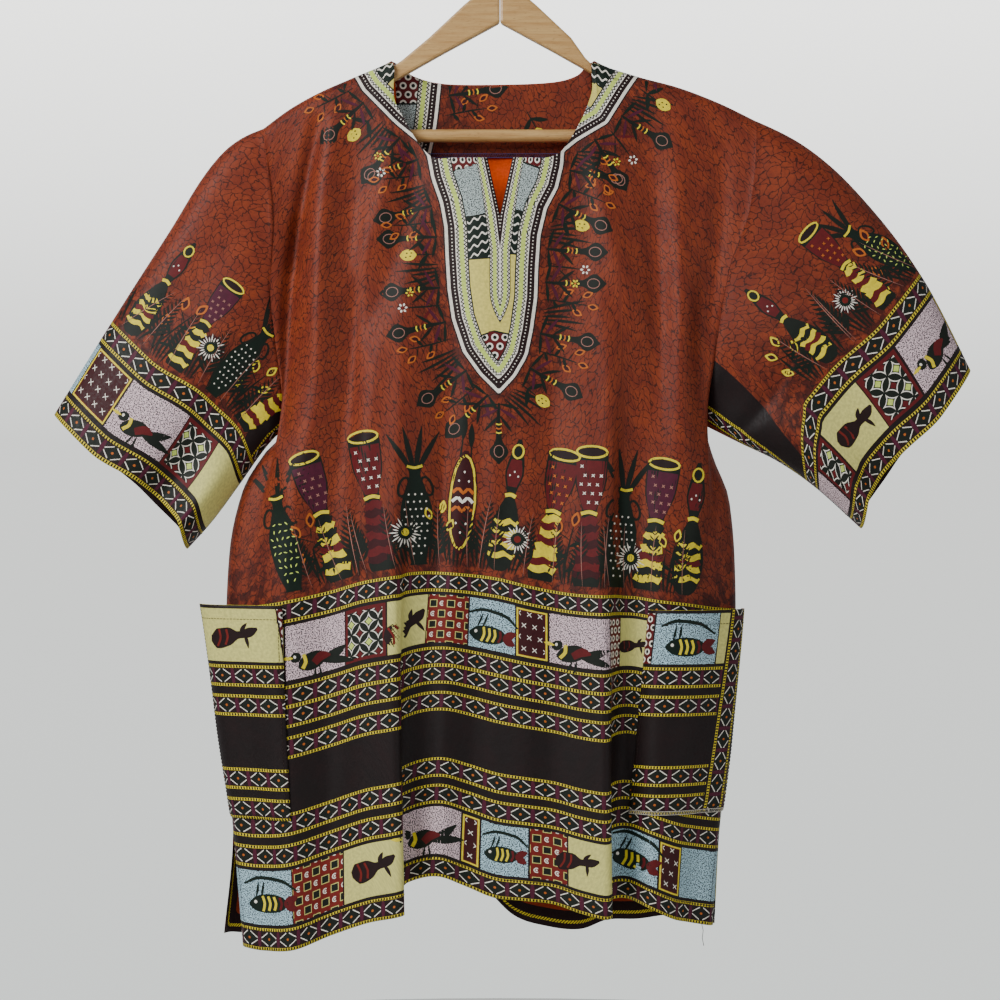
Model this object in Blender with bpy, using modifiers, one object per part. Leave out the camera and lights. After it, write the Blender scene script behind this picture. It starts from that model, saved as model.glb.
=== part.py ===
"""Dashiki shirt on a wooden hanger.

Metres in Blender, millimetres in the tables below. The origin is the inner
crown of the hanger's hook, where a rail carries it. Z is up, so heights are
written as a drop below the hook, and the front of the shirt faces -Y. Depths
are written as "out": how far the cloth stands off the hanger's own plane.
"""

from collections import namedtuple
import math

import bmesh
import bpy
import numpy as np

MM = 0.001

WALL = 1.6              # cloth wall
SEAM = 0.3              # gap left between two pieces at a seam
SLEEVE_SEAM = 0.6       # the same at the armhole, where the walls meet at an angle
SHOULDER_SEAM = 1.2     # added to it at the shoulder point, where the angle is sharpest
RIDGE_RADIUS = 10.0     # cloth rounding over the hanger's arm
RIDGE_OUT = 0.75        # least distance of a panel's outer face from the hanger's plane
CHEST_DROP = 400.0      # level of the chest values in the fold tables
YOKE_DEPTH = 50.0       # a fold is halfway across to its chest place this far down

SLIT_TOP_DROP = 240.0   # neck edge at the centre front
SLIT_TIP_DROP = 293.0   # end of the neck slit
SLIT_HALF = 11.5        # half the slit's width at the neck edge

HANGER_HALF = 6.0       # half the thickness of the hanger's wood
HANGER_EDGE = 2.2       # its rounded edge
ARM_BELOW_RIDGE = 4.9   # top of an arm under the ridge of the cloth, plumb
BAR_RADIUS = 6.0
BAR_DROP = 216.5
BAR_LEFT = -192.5
BAR_RIGHT = 206.0
WIRE_RADIUS = 1.75
HOOK_RADIUS = 20.0      # inside of the hook's crown

# Ridge of the shoulders over the hanger, and of its arms in the neck: x and drop.
RIDGE = ((-220, 210), (-194, 191), (-167, 176), (-135, 162), (-101, 147), (-68, 120), (0, 70),
         (66, 120), (88, 147), (126, 161), (165, 171.5), (203, 186), (238, 203))
NECK_LEFT, NECK_RIGHT = -101.0, 88.0

# Side edges of the body, from the shoulder point down the armhole to the hem.
Edge = namedtuple("Edge", "name drop front_x front_out back_x back_out")
LEFT_EDGE = (
    Edge("shoulder point", 210, -220, 10, -220, 10),
    Edge("armhole top", 240, -216, 15, -216, 14),
    Edge("armhole", 300, -211, 20, -211, 18),
    Edge("armhole", 350, -213, 21, -213, 20),
    Edge("armhole low", 444, -203, 15, -203, 15),
    Edge("underarm", 486, -198, 2.2, -198, 2.2),
    Edge("ribs", 512, -219, 2.2, -219, 2.2),
    Edge("waist", 546, -239, 2.2, -239, 2.2),
    Edge("hip", 600, -251, 2.2, -251, 2.2),
    Edge("pocket mouth", 650, -254, 2.2, -254, 2.2),
    Edge("pocket", 757, -256, 2.2, -256, 2.2),
    Edge("slit top", 860, -248, 2.2, -248, 2.2),
    Edge("hem", 967, -238, 9, -258, 8),
)
RIGHT_EDGE = (
    Edge("shoulder point", 203, 238, 10, 238, 10),
    Edge("armhole top", 233, 237, 15, 237, 14),
    Edge("armhole", 283, 231, 20, 231, 18),
    Edge("armhole", 344, 211, 21, 211, 20),
    Edge("armhole low", 432, 197, 16, 197, 16),
    Edge("underarm", 486, 191, 2.2, 191, 2.2),
    Edge("ribs", 512, 197, 2.2, 197, 2.2),
    Edge("waist", 555, 213, 2.2, 213, 2.2),
    Edge("hip", 610, 218, 2.2, 218, 2.2),
    Edge("pocket mouth", 655, 219, 2.2, 219, 2.2),
    Edge("pocket", 776, 213, 2.2, 213, 2.2),
    Edge("slit top", 860, 204, 2.2, 204, 2.2),
    Edge("hem", 949, 197, 9, 200, 8),
)

# One row for each fold of a panel, crest or trough, from left to right.
Fold = namedtuple("Fold", "name top_x top_drop top_out chest_x chest_out "
                          "border_x border_drop border_out hem_x hem_drop hem_out")
FRONT_FOLDS = (
    Fold("arm valley left", -194, 191, 10, -190, 21, -229, 652, 26, -216, 969, 27),
    Fold("swell left", -165, 175, 10, -166, 38, -198, 647, 44, -188, 966, 43),
    Fold("dip left", -135, 162, 10, -138, 28, -157, 638, 36, -155, 954, 34),
    Fold("neck point left", -101, 147, 10, -124, 34, -127, 629, 48, -121, 940, 53),
    Fold("crest left", -98, 182, 12, -96, 41, -100, 624, 58, -94, 933, 67),
    Fold("nose left", -91, 198, 14, -84, 41, -91, 623, 55, -87, 930, 60),
    Fold("turn left", -83, 213, 17, -71, 38, -85, 621, 48, -104, 924, 51),
    Fold("under left", -72, 230, 22, -57, 35, -74, 620, 42, -98, 913, 38),
    Fold("base left", -60, 240, 25, -43, 35, -60, 620, 38, -78, 903, 34),
    Fold("swell middle", -44, 240, 27, -29, 38, -42, 621, 42, -56, 899, 42),
    Fold("dip middle", -28, 240, 28, -14, 40, -21, 623, 38, -32, 909, 32),
    Fold("centre", 0, 240, 28, 0, 40, 0, 626, 42, -5, 919, 38),
    Fold("soft right", 27, 240, 28, 16, 39, 24, 632, 46, 22, 921, 45),
    Fold("rise right", 42, 240, 27, 33, 36, 48, 637, 46, 49, 924, 46),
    Fold("swell right", 55, 235, 25, 52, 34, 70, 640, 52, 73, 931, 55),
    Fold("crest right", 64, 223, 21, 68, 36, 90, 641, 60, 95, 935, 66),
    Fold("nose right", 71, 211, 18, 82, 39, 99, 641, 57, 102, 933, 60),
    Fold("turn right", 78, 197, 15, 95, 41, 105, 641, 49, 91, 930, 48),
    Fold("trough right", 85, 176, 12, 110, 38, 113, 642, 38, 102, 922, 30),
    Fold("neck point right", 88, 147, 10, 130, 33, 126, 643, 36, 118, 921, 30),
    Fold("swell outer right", 126, 161, 10, 147, 27, 146, 646, 46, 137, 928, 47),
    Fold("dip outer right", 165, 171, 10, 166, 36, 171, 649, 42, 158, 938, 40),
    Fold("arm valley right", 203, 186, 10, 184, 23, 197, 653, 26, 173, 943, 25),
)
BACK_FOLDS = (
    Fold("arm valley left", -194, 191, 10, -188, 22, -224, 650, 26, -232, 960, 28),
    Fold("swell left", -163, 174, 10, -160, 34, -184, 645, 40, -192, 956, 44),
    Fold("dip left", -130, 160, 10, -128, 27, -142, 641, 30, -148, 950, 28),
    Fold("neck point left", -101, 147, 10, -98, 33, -102, 640, 42, -104, 930, 46),
    Fold("neck bend left", -81, 159, 13, -67, 28, -64, 640, 31, -64, 898, 30),
    Fold("neck left", -54, 166, 14, -36, 31, -26, 640, 37, -24, 912, 40),
    Fold("neck middle", -8, 167, 14, 0, 34, 8, 640, 42, 12, 946, 44),
    Fold("neck right", 46, 165, 14, 34, 30, 44, 640, 32, 44, 955, 31),
    Fold("neck bend right", 71, 159, 13, 62, 28, 76, 640, 31, 75, 958, 32),
    Fold("neck point right", 88, 147, 10, 92, 32, 105, 642, 40, 101, 951, 44),
    Fold("dip right", 124, 160, 10, 124, 26, 137, 645, 30, 129, 948, 30),
    Fold("swell right", 163, 171, 10, 157, 34, 168, 649, 40, 155, 946, 40),
    Fold("arm valley right", 203, 186, 10, 182, 23, 196, 652, 26, 176, 944, 27),
)

# Rows of a panel: fixed steps over the ridge, then shares down to each level.
RIDGE_STEPS = (0.0, 1.5, 5.0, 10.0)
FRONT_ROWS = (7, 5, 8)
BACK_ROWS = (7, 5, 5)
ARMHOLE_ROWS = 3        # rows of the side edges from the chest level to the underarm

# A sleeve is a tube of sections, from the armhole to the cuff.
Section = namedtuple("Section", "name top_x top_drop low_x low_drop front_out back_out bow curl")
LEFT_SLEEVE = (
    Section("armhole", -220, 210, -198, 486, 21, 20, 0, 0),
    Section("upper", -260, 233, -217, 505, 30, 24, 0, 0),
    Section("middle", -308, 308, -241, 539, 36, 28, 3, 4),
    Section("border", -361, 391, -266, 573, 40, 30, 9, 12),
    Section("cuff", -413, 475, -290, 600, 42, 32, 15, 20),
)
RIGHT_SLEEVE = (
    Section("armhole", 238, 203, 191, 486, 21, 20, 0, 0),
    Section("upper", 290, 230, 223, 502, 30, 24, 0, 0),
    Section("middle", 344, 284, 258, 519, 36, 28, 3, 4),
    Section("border", 394, 352, 294, 544, 40, 30, 9, 12),
    Section("cuff", 436, 434, 335, 581, 42, 32, 13, 20),
)
RINGS = 9
BOW_SHAPE = ((0, 0), (0.3, 0.1), (0.6, 0.9), (0.85, 1.0), (1, 0))

# A pocket is a patch of the front panel, moved out; its mouth gapes.
Pocket = namedtuple("Pocket", "name outer_column mouth_column foot_column "
                              "top_drop low_drop outer_swing gape")
LEFT_POCKET = Pocket("pocket_left", 0.05, 3.0, 3.05, 651, 848, -20, 11)
RIGHT_POCKET = Pocket("pocket_right", 25.95, 21.6, 20.9, 655, 842, 0, 12)
POCKET_ACROSS, POCKET_DOWN = 12, 10
POCKET_LIFT = 0.7       # beyond the seam gap, so that its facets clear the panel

FACING_LOW_DROP = 241.0
FACING_ROWS = 5
FACING_ROLL = 3.0       # the rolled lower edge stands this far off the back


def smooth(knots, values, at):
    """Monotone cubic through the knots: it never swings past a stated value."""
    knots = np.asarray(knots, float)
    values = np.asarray(values, float)
    at = np.clip(at, knots[0], knots[-1])
    step = np.diff(knots)
    rise = np.diff(values) / step
    slope = np.zeros(len(knots))
    slope[0], slope[-1] = rise[0], rise[-1]
    for i in range(1, len(knots) - 1):
        if rise[i - 1] * rise[i] > 0:
            slope[i] = 2 * rise[i - 1] * rise[i] / (rise[i - 1] + rise[i])
    i = np.clip(np.searchsorted(knots, at, side="right") - 1, 0, len(step) - 1)
    h = step[i]
    t = (at - knots[i]) / h
    return (values[i] * (1 + 2 * t) * (1 - t) ** 2 + slope[i] * h * t * (1 - t) ** 2
            + values[i + 1] * t * t * (3 - 2 * t) + slope[i + 1] * h * t * t * (t - 1))


def across(columns, at):
    """Round curve through neighbouring columns, read at the fractional places `at`."""
    columns = np.asarray(columns, float)
    at = np.asarray(at, float)
    last = len(columns) - 1
    i = np.clip(np.floor(at).astype(int), 0, last - 1)
    t = (at - i).reshape(-1, *([1] * (columns.ndim - 1)))
    before = columns[np.maximum(i - 1, 0)]
    start = columns[i]
    end = columns[i + 1]
    after = columns[np.minimum(i + 2, last)]
    return 0.5 * (2 * start + (end - before) * t
                  + (2 * before - 5 * start + 4 * end - after) * t ** 2
                  + (3 * start - before - 3 * end + after) * t ** 3)


def ridge_drop(x):
    """Drop of the shoulder ridge at x."""
    xs = [place[0] for place in RIDGE]
    drops = [place[1] for place in RIDGE]
    return smooth(xs, drops, x)


def ridge_share(below):
    """Share of its full depth that cloth has at a distance below the ridge."""
    down = np.clip(np.asarray(below, float) / RIDGE_RADIUS, 0, 1)
    return np.sqrt(1 - (1 - down) ** 2)


def edge_at(edge, drop, face):
    """x and out of a side edge at a drop, for the front or the back panel."""
    drops = [row.drop for row in edge]
    x = smooth(drops, [getattr(row, face + "_x") for row in edge], drop)
    out = smooth(drops, [getattr(row, face + "_out") for row in edge], drop)
    return x, out


def row_drops(top, border, hem, rows):
    """Drops of a column's points from its top to the hem."""
    start = top + RIDGE_STEPS[-1]
    levels = (start, CHEST_DROP, border, hem)
    drops = [top + step for step in RIDGE_STEPS]
    for low, high, count in zip(levels, levels[1:], rows):
        drops += [low + (high - low) * (k + 1) / count for k in range(count)]
    return np.array(drops)


def fold_column(fold, rows):
    """Points (x, drop, out) down one fold of a panel."""
    yoke_x = (fold.top_x + fold.chest_x) / 2
    levels = (fold.top_drop, CHEST_DROP, fold.border_drop, fold.hem_drop)
    x_levels = (fold.top_drop, fold.top_drop + YOKE_DEPTH, *levels[1:])
    drops = row_drops(fold.top_drop, fold.border_drop, fold.hem_drop, rows)
    x = smooth(x_levels, (fold.top_x, yoke_x, fold.chest_x, fold.border_x, fold.hem_x), drops)
    out = smooth(levels, (fold.top_out, fold.chest_out, fold.border_out, fold.hem_out), drops)
    return np.stack([x, drops, out], axis=1)


def underarm(edge):
    """Row of a side edge where the armhole ends."""
    return next(row for row in edge if row.name == "underarm")


def edge_drops(edge, border, hem, rows):
    """Drops down a side edge, with one of its points on the underarm."""
    drops = row_drops(edge[0].drop, border, hem, rows)
    first = len(RIDGE_STEPS) + rows[0] - 1
    last = first + rows[1]
    bottom = underarm(edge).drop
    closing = np.linspace(0, 1, ARMHOLE_ROWS + 1) ** 0.75
    drops[first:first + ARMHOLE_ROWS + 1] = CHEST_DROP + (bottom - CHEST_DROP) * closing
    drops[first + ARMHOLE_ROWS:last + 1] = np.linspace(bottom, border, rows[1] - ARMHOLE_ROWS + 1)
    return drops


def edge_column(edge, face, border, hem, rows):
    """Points (x, drop, out) down a side edge of a panel."""
    drops = edge_drops(edge, border, hem, rows)
    x, out = edge_at(edge, drops, face)
    return np.stack([x, drops, out], axis=1)


def panel_columns(folds, face, rows):
    """Every column of a panel: edge, its roll, the folds, then roll and edge."""
    inner = [fold_column(fold, rows) for fold in folds]
    left = edge_column(LEFT_EDGE, face, folds[0].border_drop + 2, folds[0].hem_drop - 2, rows)
    right = edge_column(RIGHT_EDGE, face, folds[-1].border_drop + 2, folds[-1].hem_drop + 5, rows)
    roll_left = left + (inner[0] - left) * (0.22, 0.22, 0.55)
    roll_right = right + (inner[-1] - right) * (0.22, 0.22, 0.55)
    return np.array([left, roll_left, *inner, roll_right, right])


def over_ridge(points):
    """Lay the top rows of a panel over the ridge of the shoulders."""
    points = points.copy()
    x = points[..., 0]
    shoulder = (x <= NECK_LEFT + 0.01) | (x >= NECK_RIGHT - 0.01)
    for row, step in enumerate(RIDGE_STEPS):
        on = shoulder[:, row]
        points[on, row, 1] = ridge_drop(x[on, row]) + step
    below = points[..., 1] - ridge_drop(x)
    points[..., 2] = np.maximum(points[..., 2] * ridge_share(below), RIDGE_OUT)
    return points


def column_places(folds, step):
    """Fractional column numbers, closer together where the neck turns down."""
    last = len(folds) + 3
    places = set(np.arange(0, last + 0.001, step).round(3))
    for fold, side in (("neck point left", 1), ("neck point right", -1)):
        number = [row.name for row in folds].index(fold) + 2
        places |= {number + side * part for part in (0.14, 0.32)}
    return np.array(sorted(places))


def panel(folds, face, rows, step):
    """Grid of a panel's outer face as (column, row, (x, drop, out))."""
    columns = panel_columns(folds, face, rows)
    places = column_places(folds, step)
    return places, over_ridge(across(columns, places))


def slit_half(drop):
    """Half the width of the neck slit at a drop."""
    share = (SLIT_TIP_DROP - drop) / (SLIT_TIP_DROP - SLIT_TOP_DROP)
    return SLIT_HALF * np.clip(share, 0, 1)


def to_world(points, facing):
    """(x, drop, out) in millimetres to (x, y, z) in metres; facing is -1 front, 1 back."""
    x, drop, out = points[..., 0], points[..., 1], points[..., 2]
    return np.stack([x, facing * out, -drop], axis=-1) * MM


def material(name, colour, roughness, metallic=0.0):
    """Principled material from an sRGB colour."""
    made = bpy.data.materials.new(name)
    made.use_nodes = True
    shader = made.node_tree.nodes["Principled BSDF"]
    linear = [(c / 12.92 if c <= 0.04045 else ((c + 0.055) / 1.055) ** 2.4) for c in colour]
    shader.inputs["Base Color"].default_value = (*linear, 1)
    shader.inputs["Roughness"].default_value = roughness
    shader.inputs["Metallic"].default_value = metallic
    return made


def add_object(name, mesh, paint, collection):
    """Put a mesh or a curve into the collection under its node's name."""
    made = bpy.data.objects.new(name, mesh)
    mesh.materials.append(paint)
    collection.objects.link(made)
    return made


def thicken(sheet, toward):
    """Cloth wall under the outer face."""
    solid = sheet.modifiers.new("cloth wall", "SOLIDIFY")
    solid.thickness = WALL * MM
    solid.offset = toward
    solid.use_rim = True
    return sheet


def sheet_mesh(name, vertices, faces):
    """Smooth mesh from named rows of points."""
    mesh = bpy.data.meshes.new(name)
    mesh.from_pydata([tuple(v) for v in vertices], [], faces)
    mesh.validate()
    mesh.shade_smooth()
    return mesh


def grid_faces(columns, rows, number, flip):
    """Quads between the points of a grid; number(i, j) gives a point's place in the list."""
    faces = []
    for i in range(columns - 1):
        for j in range(rows - 1):
            quad = [number(i, j), number(i, j + 1), number(i + 1, j + 1), number(i + 1, j)]
            faces.append(quad[::-1] if flip else quad)
    return faces


def add_grid(name, points, facing, paint, collection, toward=-1):
    """An open sheet of cloth with its outer face on the grid of points."""
    columns, rows = points.shape[:2]
    world = to_world(points, facing).reshape(-1, 3)
    faces = grid_faces(columns, rows, lambda i, j: i * rows + j, facing > 0)
    mesh = sheet_mesh(name, world, faces)
    return thicken(add_object(name, mesh, paint, collection), toward)


def add_front(paint, collection):
    """Front panel, open down the neck slit at its centre column."""
    places, points = panel(FRONT_FOLDS, "front", FRONT_ROWS, 0.5)
    columns, rows = points.shape[:2]
    centre_name = [row.name for row in FRONT_FOLDS].index("centre") + 2
    centre = int(np.argmin(abs(places - centre_name)))
    half = slit_half(points[centre, :, 1])
    open_rows = int((half > 0.01).sum())
    right_side = points[centre, :open_rows].copy()
    points[centre, :, 0] -= half
    right_side[:, 0] += half[:open_rows]
    vertices = np.concatenate([to_world(points, -1).reshape(-1, 3), to_world(right_side, -1)])
    split = columns * rows

    def left_number(i, j):
        return i * rows + j

    def right_number(i, j):
        return split + j if i == 0 and j < open_rows else (centre + i) * rows + j

    faces = grid_faces(centre + 1, rows, left_number, False)
    faces += grid_faces(columns - centre, rows, right_number, False)
    mesh = sheet_mesh("front", vertices, faces)
    return thicken(add_object("front", mesh, paint, collection), -1)


def add_back(paint, collection):
    """Back panel, with its neckline high behind the hanger."""
    points = panel(BACK_FOLDS, "back", BACK_ROWS, 1.0)[1]
    return add_grid("back", points, 1, paint, collection)


def sleeve_ring(edge, sections, along):
    """Closed ring of a sleeve, a share `along` of the way from armhole to cuff."""
    row = across([section[1:] for section in sections], [along * (len(sections) - 1)])[0]
    top_x, top_drop, low_x, low_drop, front_out, back_out, bow, curl = row
    drops = edge_drops(edge, 650, 950, FRONT_ROWS)[:len(RIDGE_STEPS) + FRONT_ROWS[0] + ARMHOLE_ROWS]
    down = (drops - drops[0]) / (drops[-1] - drops[0])
    share = np.concatenate([down, down[-2:0:-1]])
    front = np.arange(len(share)) < len(down) - 0.5
    x = top_x + (low_x - top_x) * share
    drop = top_drop + (low_drop - top_drop) * share
    out = np.where(front, front_out, back_out) * (4 * share * (1 - share)) ** 0.375

    width = math.hypot(low_x - top_x, low_drop - top_drop)
    bow_here = np.where(front, bow, 0.4 * bow) * smooth(*zip(*BOW_SHAPE), share)
    inward = -np.sign(top_x)
    x = x + inward * bow_here * (low_drop - top_drop) / width
    drop = drop - bow_here * abs(low_x - top_x) / width
    dent = np.exp(-((share - 0.70) / 0.10) ** 2) - 0.6 * np.exp(-((share - 0.90) / 0.07) ** 2)
    out = out - np.where(front, curl, 0.3 * curl) * dent

    seam_drop = drops[0] + (drops[-1] - drops[0]) * share
    edge_x, front_edge = edge_at(edge, seam_drop, "front")
    back_edge = edge_at(edge, seam_drop, "back")[1]
    seam_out = np.where(front, front_edge, back_edge) * ridge_share(seam_drop - drops[0])
    seam_out[0] = seam_out[len(down) - 1] = 0
    near = (1 - min(along * 2.5, 1.0)) ** 2
    gap = SLEEVE_SEAM + SHOULDER_SEAM * (1 - share) ** 2
    x = x * (1 - near) + (edge_x + np.sign(top_x) * gap) * near
    drop = drop * (1 - near) + seam_drop * near
    out = out * (1 - near) + seam_out * near
    y = np.where(front, -out, out)
    return np.stack([x, y, -drop], axis=1) * MM


def add_sleeve(name, edge, sections, paint, collection):
    """A sleeve as a tube of cloth, open at the armhole and the cuff."""
    rings = [sleeve_ring(edge, sections, k / (RINGS - 1)) for k in range(RINGS)]
    faces = []
    count = len(rings[0])
    for k in range(RINGS - 1):
        for i in range(count):
            j = (i + 1) % count
            quad = [k * count + i, k * count + j, (k + 1) * count + j, (k + 1) * count + i]
            faces.append(quad if sections[0].top_x > 0 else quad[::-1])
    mesh = sheet_mesh(name, np.concatenate(rings), faces)
    return thicken(add_object(name, mesh, paint, collection), -1)


def normals(points, facing):
    """Outward normals of a grid of points, in the grid's own millimetres."""
    world = to_world(points, facing) / MM
    along = np.gradient(world, axis=0)
    down = np.gradient(world, axis=1)
    cross = np.cross(down, along)
    cross *= np.sign(cross[..., 1].mean()) * facing
    return world, cross / np.linalg.norm(cross, axis=2, keepdims=True)


def add_pocket(pocket, paint, collection):
    """Patch pocket on the front, closed at its sides and foot, gaping at the mouth."""
    columns = panel_columns(FRONT_FOLDS, "front", (24, 24, 36))
    drops = np.linspace(pocket.top_drop, pocket.low_drop, POCKET_DOWN + 1)
    patch = []
    for share in np.linspace(0, 1, POCKET_ACROSS + 1):
        foot = pocket.foot_column - pocket.mouth_column
        inner = pocket.mouth_column + foot * (drops - drops[0]) / (drops[-1] - drops[0])
        place = pocket.outer_column + (inner - pocket.outer_column) * share
        path = []
        for column, drop in zip(place, drops):
            full = across(columns, [column])[0]
            path.append([smooth(full[:, 1], full[:, axis], drop) for axis in range(3)])
        patch.append(path)
    patch = np.array(patch)
    world, normal = normals(patch, -1)
    across_share = np.linspace(0, 1, POCKET_ACROSS + 1)[:, None]
    down_share = np.linspace(0, 1, POCKET_DOWN + 1)[None, :]
    mouth = (1 - down_share) ** 1.6
    gape = pocket.gape * mouth * np.sin(math.pi * np.clip(across_share, 0.06, 0.98)) ** 0.6
    lift = WALL + SEAM + POCKET_LIFT + gape
    world = world + normal * lift[..., None]
    world[..., 0] += pocket.outer_swing * mouth * (1 - across_share) ** 1.5
    points = np.stack([world[..., 0], -world[..., 2], -world[..., 1]], axis=-1)
    if pocket.outer_column > pocket.mouth_column:
        points = points[::-1]
    return add_grid(pocket.name, points, -1, paint, collection)


def add_facing(paint, collection):
    """Back neck facing, a strip inside the back panel from neck point to neck point."""
    columns = panel_columns(BACK_FOLDS, "back", (24, 24, 24))
    names = [row.name for row in BACK_FOLDS]
    first = names.index("neck point left") + 2.5
    last = names.index("neck point right") + 1.5
    places = np.linspace(first, last, 15)
    full = over_ridge(across(columns, places))
    strip = []
    for col in full:
        drops = np.linspace(col[0, 1] + 1.5, FACING_LOW_DROP, FACING_ROWS + 1)
        strip.append([[smooth(col[:, 1], col[:, axis], drop) for axis in range(3)]
                      for drop in drops])
    points = np.array(strip)
    roll = (np.linspace(0, 1, FACING_ROWS + 1) ** 4)[None, :] * FACING_ROLL
    points[..., 2] -= WALL + SEAM + 0.4 + roll * 0.5
    return add_grid("neck_facing", points, 1, paint, collection)


def add_arm(name, side, paint, collection):
    """One arm of the hanger: a flat outline with rounded edges."""
    tip = RIDGE[0] if side < 0 else RIDGE[-1]
    neck = abs(NECK_LEFT if side < 0 else NECK_RIGHT)
    end = abs(tip[0]) - 5
    xs = [side * 0.2, side * 12, side * 34, side * 66, side * (neck - 9)]
    tops = [74.0, 77.0, 96.0, 126.0, float(ridge_drop(side * (neck - 9))) + 7.0]
    count = 5
    for k in range(count):
        x = side * (neck + (end - 4 - neck) * k / (count - 1))
        xs.append(x)
        tops.append(float(ridge_drop(x)) + ARM_BELOW_RIDGE + (1.4 if k == 0 else 0))
    end_drop = tops[-1]
    outline = list(zip(xs, tops))
    outline += [(side * end, end_drop + 4), (side * end, 228), (side * (end - 4), 231)]
    block = abs(BAR_LEFT if side < 0 else BAR_RIGHT) + SEAM
    outline += [(side * block, 231), (side * block, 207)]
    outline += [(side * (block - 20), 205), (side * 98, 166), (side * 50, 139), (side * 0.2, 112)]
    shape = bmesh.new()
    corners = [shape.verts.new((x * MM, -HANGER_HALF * MM, -drop * MM)) for x, drop in outline]
    face = shape.faces.new(corners if side < 0 else corners[::-1])
    pulled = bmesh.ops.extrude_face_region(shape, geom=[face])["geom"]
    moved = [item for item in pulled if isinstance(item, bmesh.types.BMVert)]
    bmesh.ops.translate(shape, verts=moved, vec=(0, 2 * HANGER_HALF * MM, 0))
    bmesh.ops.recalc_face_normals(shape, faces=shape.faces)
    mesh = bpy.data.meshes.new(name)
    shape.to_mesh(mesh)
    shape.free()
    made = add_object(name, mesh, paint, collection)
    rounding = made.modifiers.new("rounded edge", "BEVEL")
    rounding.width = HANGER_EDGE * MM
    rounding.segments = 2
    rounding.limit_method = "ANGLE"
    rounding.angle_limit = math.radians(60)
    return made


def add_bar(paint, collection):
    """Round bar between the ends of the arms."""
    bpy.ops.mesh.primitive_cylinder_add(
        vertices=20, radius=BAR_RADIUS * MM, depth=(BAR_RIGHT - BAR_LEFT) * MM,
        location=((BAR_LEFT + BAR_RIGHT) / 2 * MM, 0, -BAR_DROP * MM),
        rotation=(0, math.pi / 2, 0))
    made = bpy.context.object
    made.name = "hanger_bar"
    made.data.materials.append(paint)
    made.data.shade_smooth()
    made.data.set_sharp_from_angle(angle=math.radians(40))
    for holder in list(made.users_collection):
        holder.objects.unlink(made)
    collection.objects.link(made)
    return made


def add_hook(paint, collection):
    """Wire hook: a stem out of the wood that bends into an open crown."""
    radius = HOOK_RADIUS + WIRE_RADIUS
    route = [(0.0, 74.3), (0.0, 62.0), (0.6, 54.0), (3.4, 47.0)]
    turn = np.radians(np.arange(-50, 196, 12))
    route += [(radius * math.cos(a), HOOK_RADIUS - radius * math.sin(a)) for a in turn]
    curve = bpy.data.curves.new("hanger_hook", "CURVE")
    curve.dimensions = "3D"
    curve.bevel_depth = WIRE_RADIUS * MM
    curve.bevel_resolution = 2
    curve.use_fill_caps = True
    spline = curve.splines.new("POLY")
    spline.points.add(len(route) - 1)
    for point, (x, drop) in zip(spline.points, route):
        point.co = (x * MM, 0, -drop * MM, 1)
    return add_object("hanger_hook", curve, paint, collection)


def build():
    for old in list(bpy.data.objects):
        bpy.data.objects.remove(old, do_unlink=True)
    shirt = bpy.data.collections.new("dashiki shirt on hanger")
    bpy.context.scene.collection.children.link(shirt)

    print_front = material("printed cotton front", (0.58, 0.24, 0.14), 0.6)
    print_back = material("printed cotton back", (0.55, 0.23, 0.13), 0.6)
    print_left = material("printed cotton left sleeve", (0.60, 0.26, 0.15), 0.6)
    print_right = material("printed cotton right sleeve", (0.60, 0.26, 0.15), 0.6)
    print_facing = material("printed cotton facing", (0.50, 0.20, 0.12), 0.6)
    pocket_left = material("printed cotton left pocket", (0.25, 0.14, 0.10), 0.6)
    pocket_right = material("printed cotton right pocket", (0.25, 0.14, 0.10), 0.6)
    wood = material("clear lacquered beech", (0.79, 0.65, 0.42), 0.4)
    steel = material("bright steel wire", (0.75, 0.75, 0.76), 0.25, 1.0)

    add_front(print_front, shirt)
    add_back(print_back, shirt)
    add_sleeve("sleeve_left", LEFT_EDGE, LEFT_SLEEVE, print_left, shirt)
    add_sleeve("sleeve_right", RIGHT_EDGE, RIGHT_SLEEVE, print_right, shirt)
    add_pocket(LEFT_POCKET, pocket_left, shirt)
    add_pocket(RIGHT_POCKET, pocket_right, shirt)
    add_facing(print_facing, shirt)
    add_arm("hanger_arm_left", -1, wood, shirt)
    add_arm("hanger_arm_right", 1, wood, shirt)
    add_bar(wood, shirt)
    add_hook(steel, shirt)


build()
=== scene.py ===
"""Dashiki shirt on a wooden hanger: printed cloth, its seams, the hanger, a stage and a camera.

Tables are in millimetres, in the part's own terms: x to the right, drop below the
hanger hook's inner crown, and out from the hanger's plane.
"""

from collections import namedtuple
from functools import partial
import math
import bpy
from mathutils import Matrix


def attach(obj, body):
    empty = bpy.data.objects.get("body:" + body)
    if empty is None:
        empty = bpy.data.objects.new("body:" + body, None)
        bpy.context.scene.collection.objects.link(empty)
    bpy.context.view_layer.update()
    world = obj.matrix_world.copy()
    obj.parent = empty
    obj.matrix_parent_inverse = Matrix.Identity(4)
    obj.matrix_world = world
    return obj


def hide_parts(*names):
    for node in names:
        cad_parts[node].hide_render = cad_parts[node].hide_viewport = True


bl_info = {
    "name": "Dashiki Shirt on Hanger",
    "version": (1, 0, 0),
    "blender": (4, 5, 0),
    "location": "View3D > Sidebar > Dashiki",
    "description": "Dresses the shirt and its hanger with printed cotton, seams and wood",
    "category": "Object",
}

import bpy
from mathutils import Vector
from mathutils.bvhtree import BVHTree
import numpy as np

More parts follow.
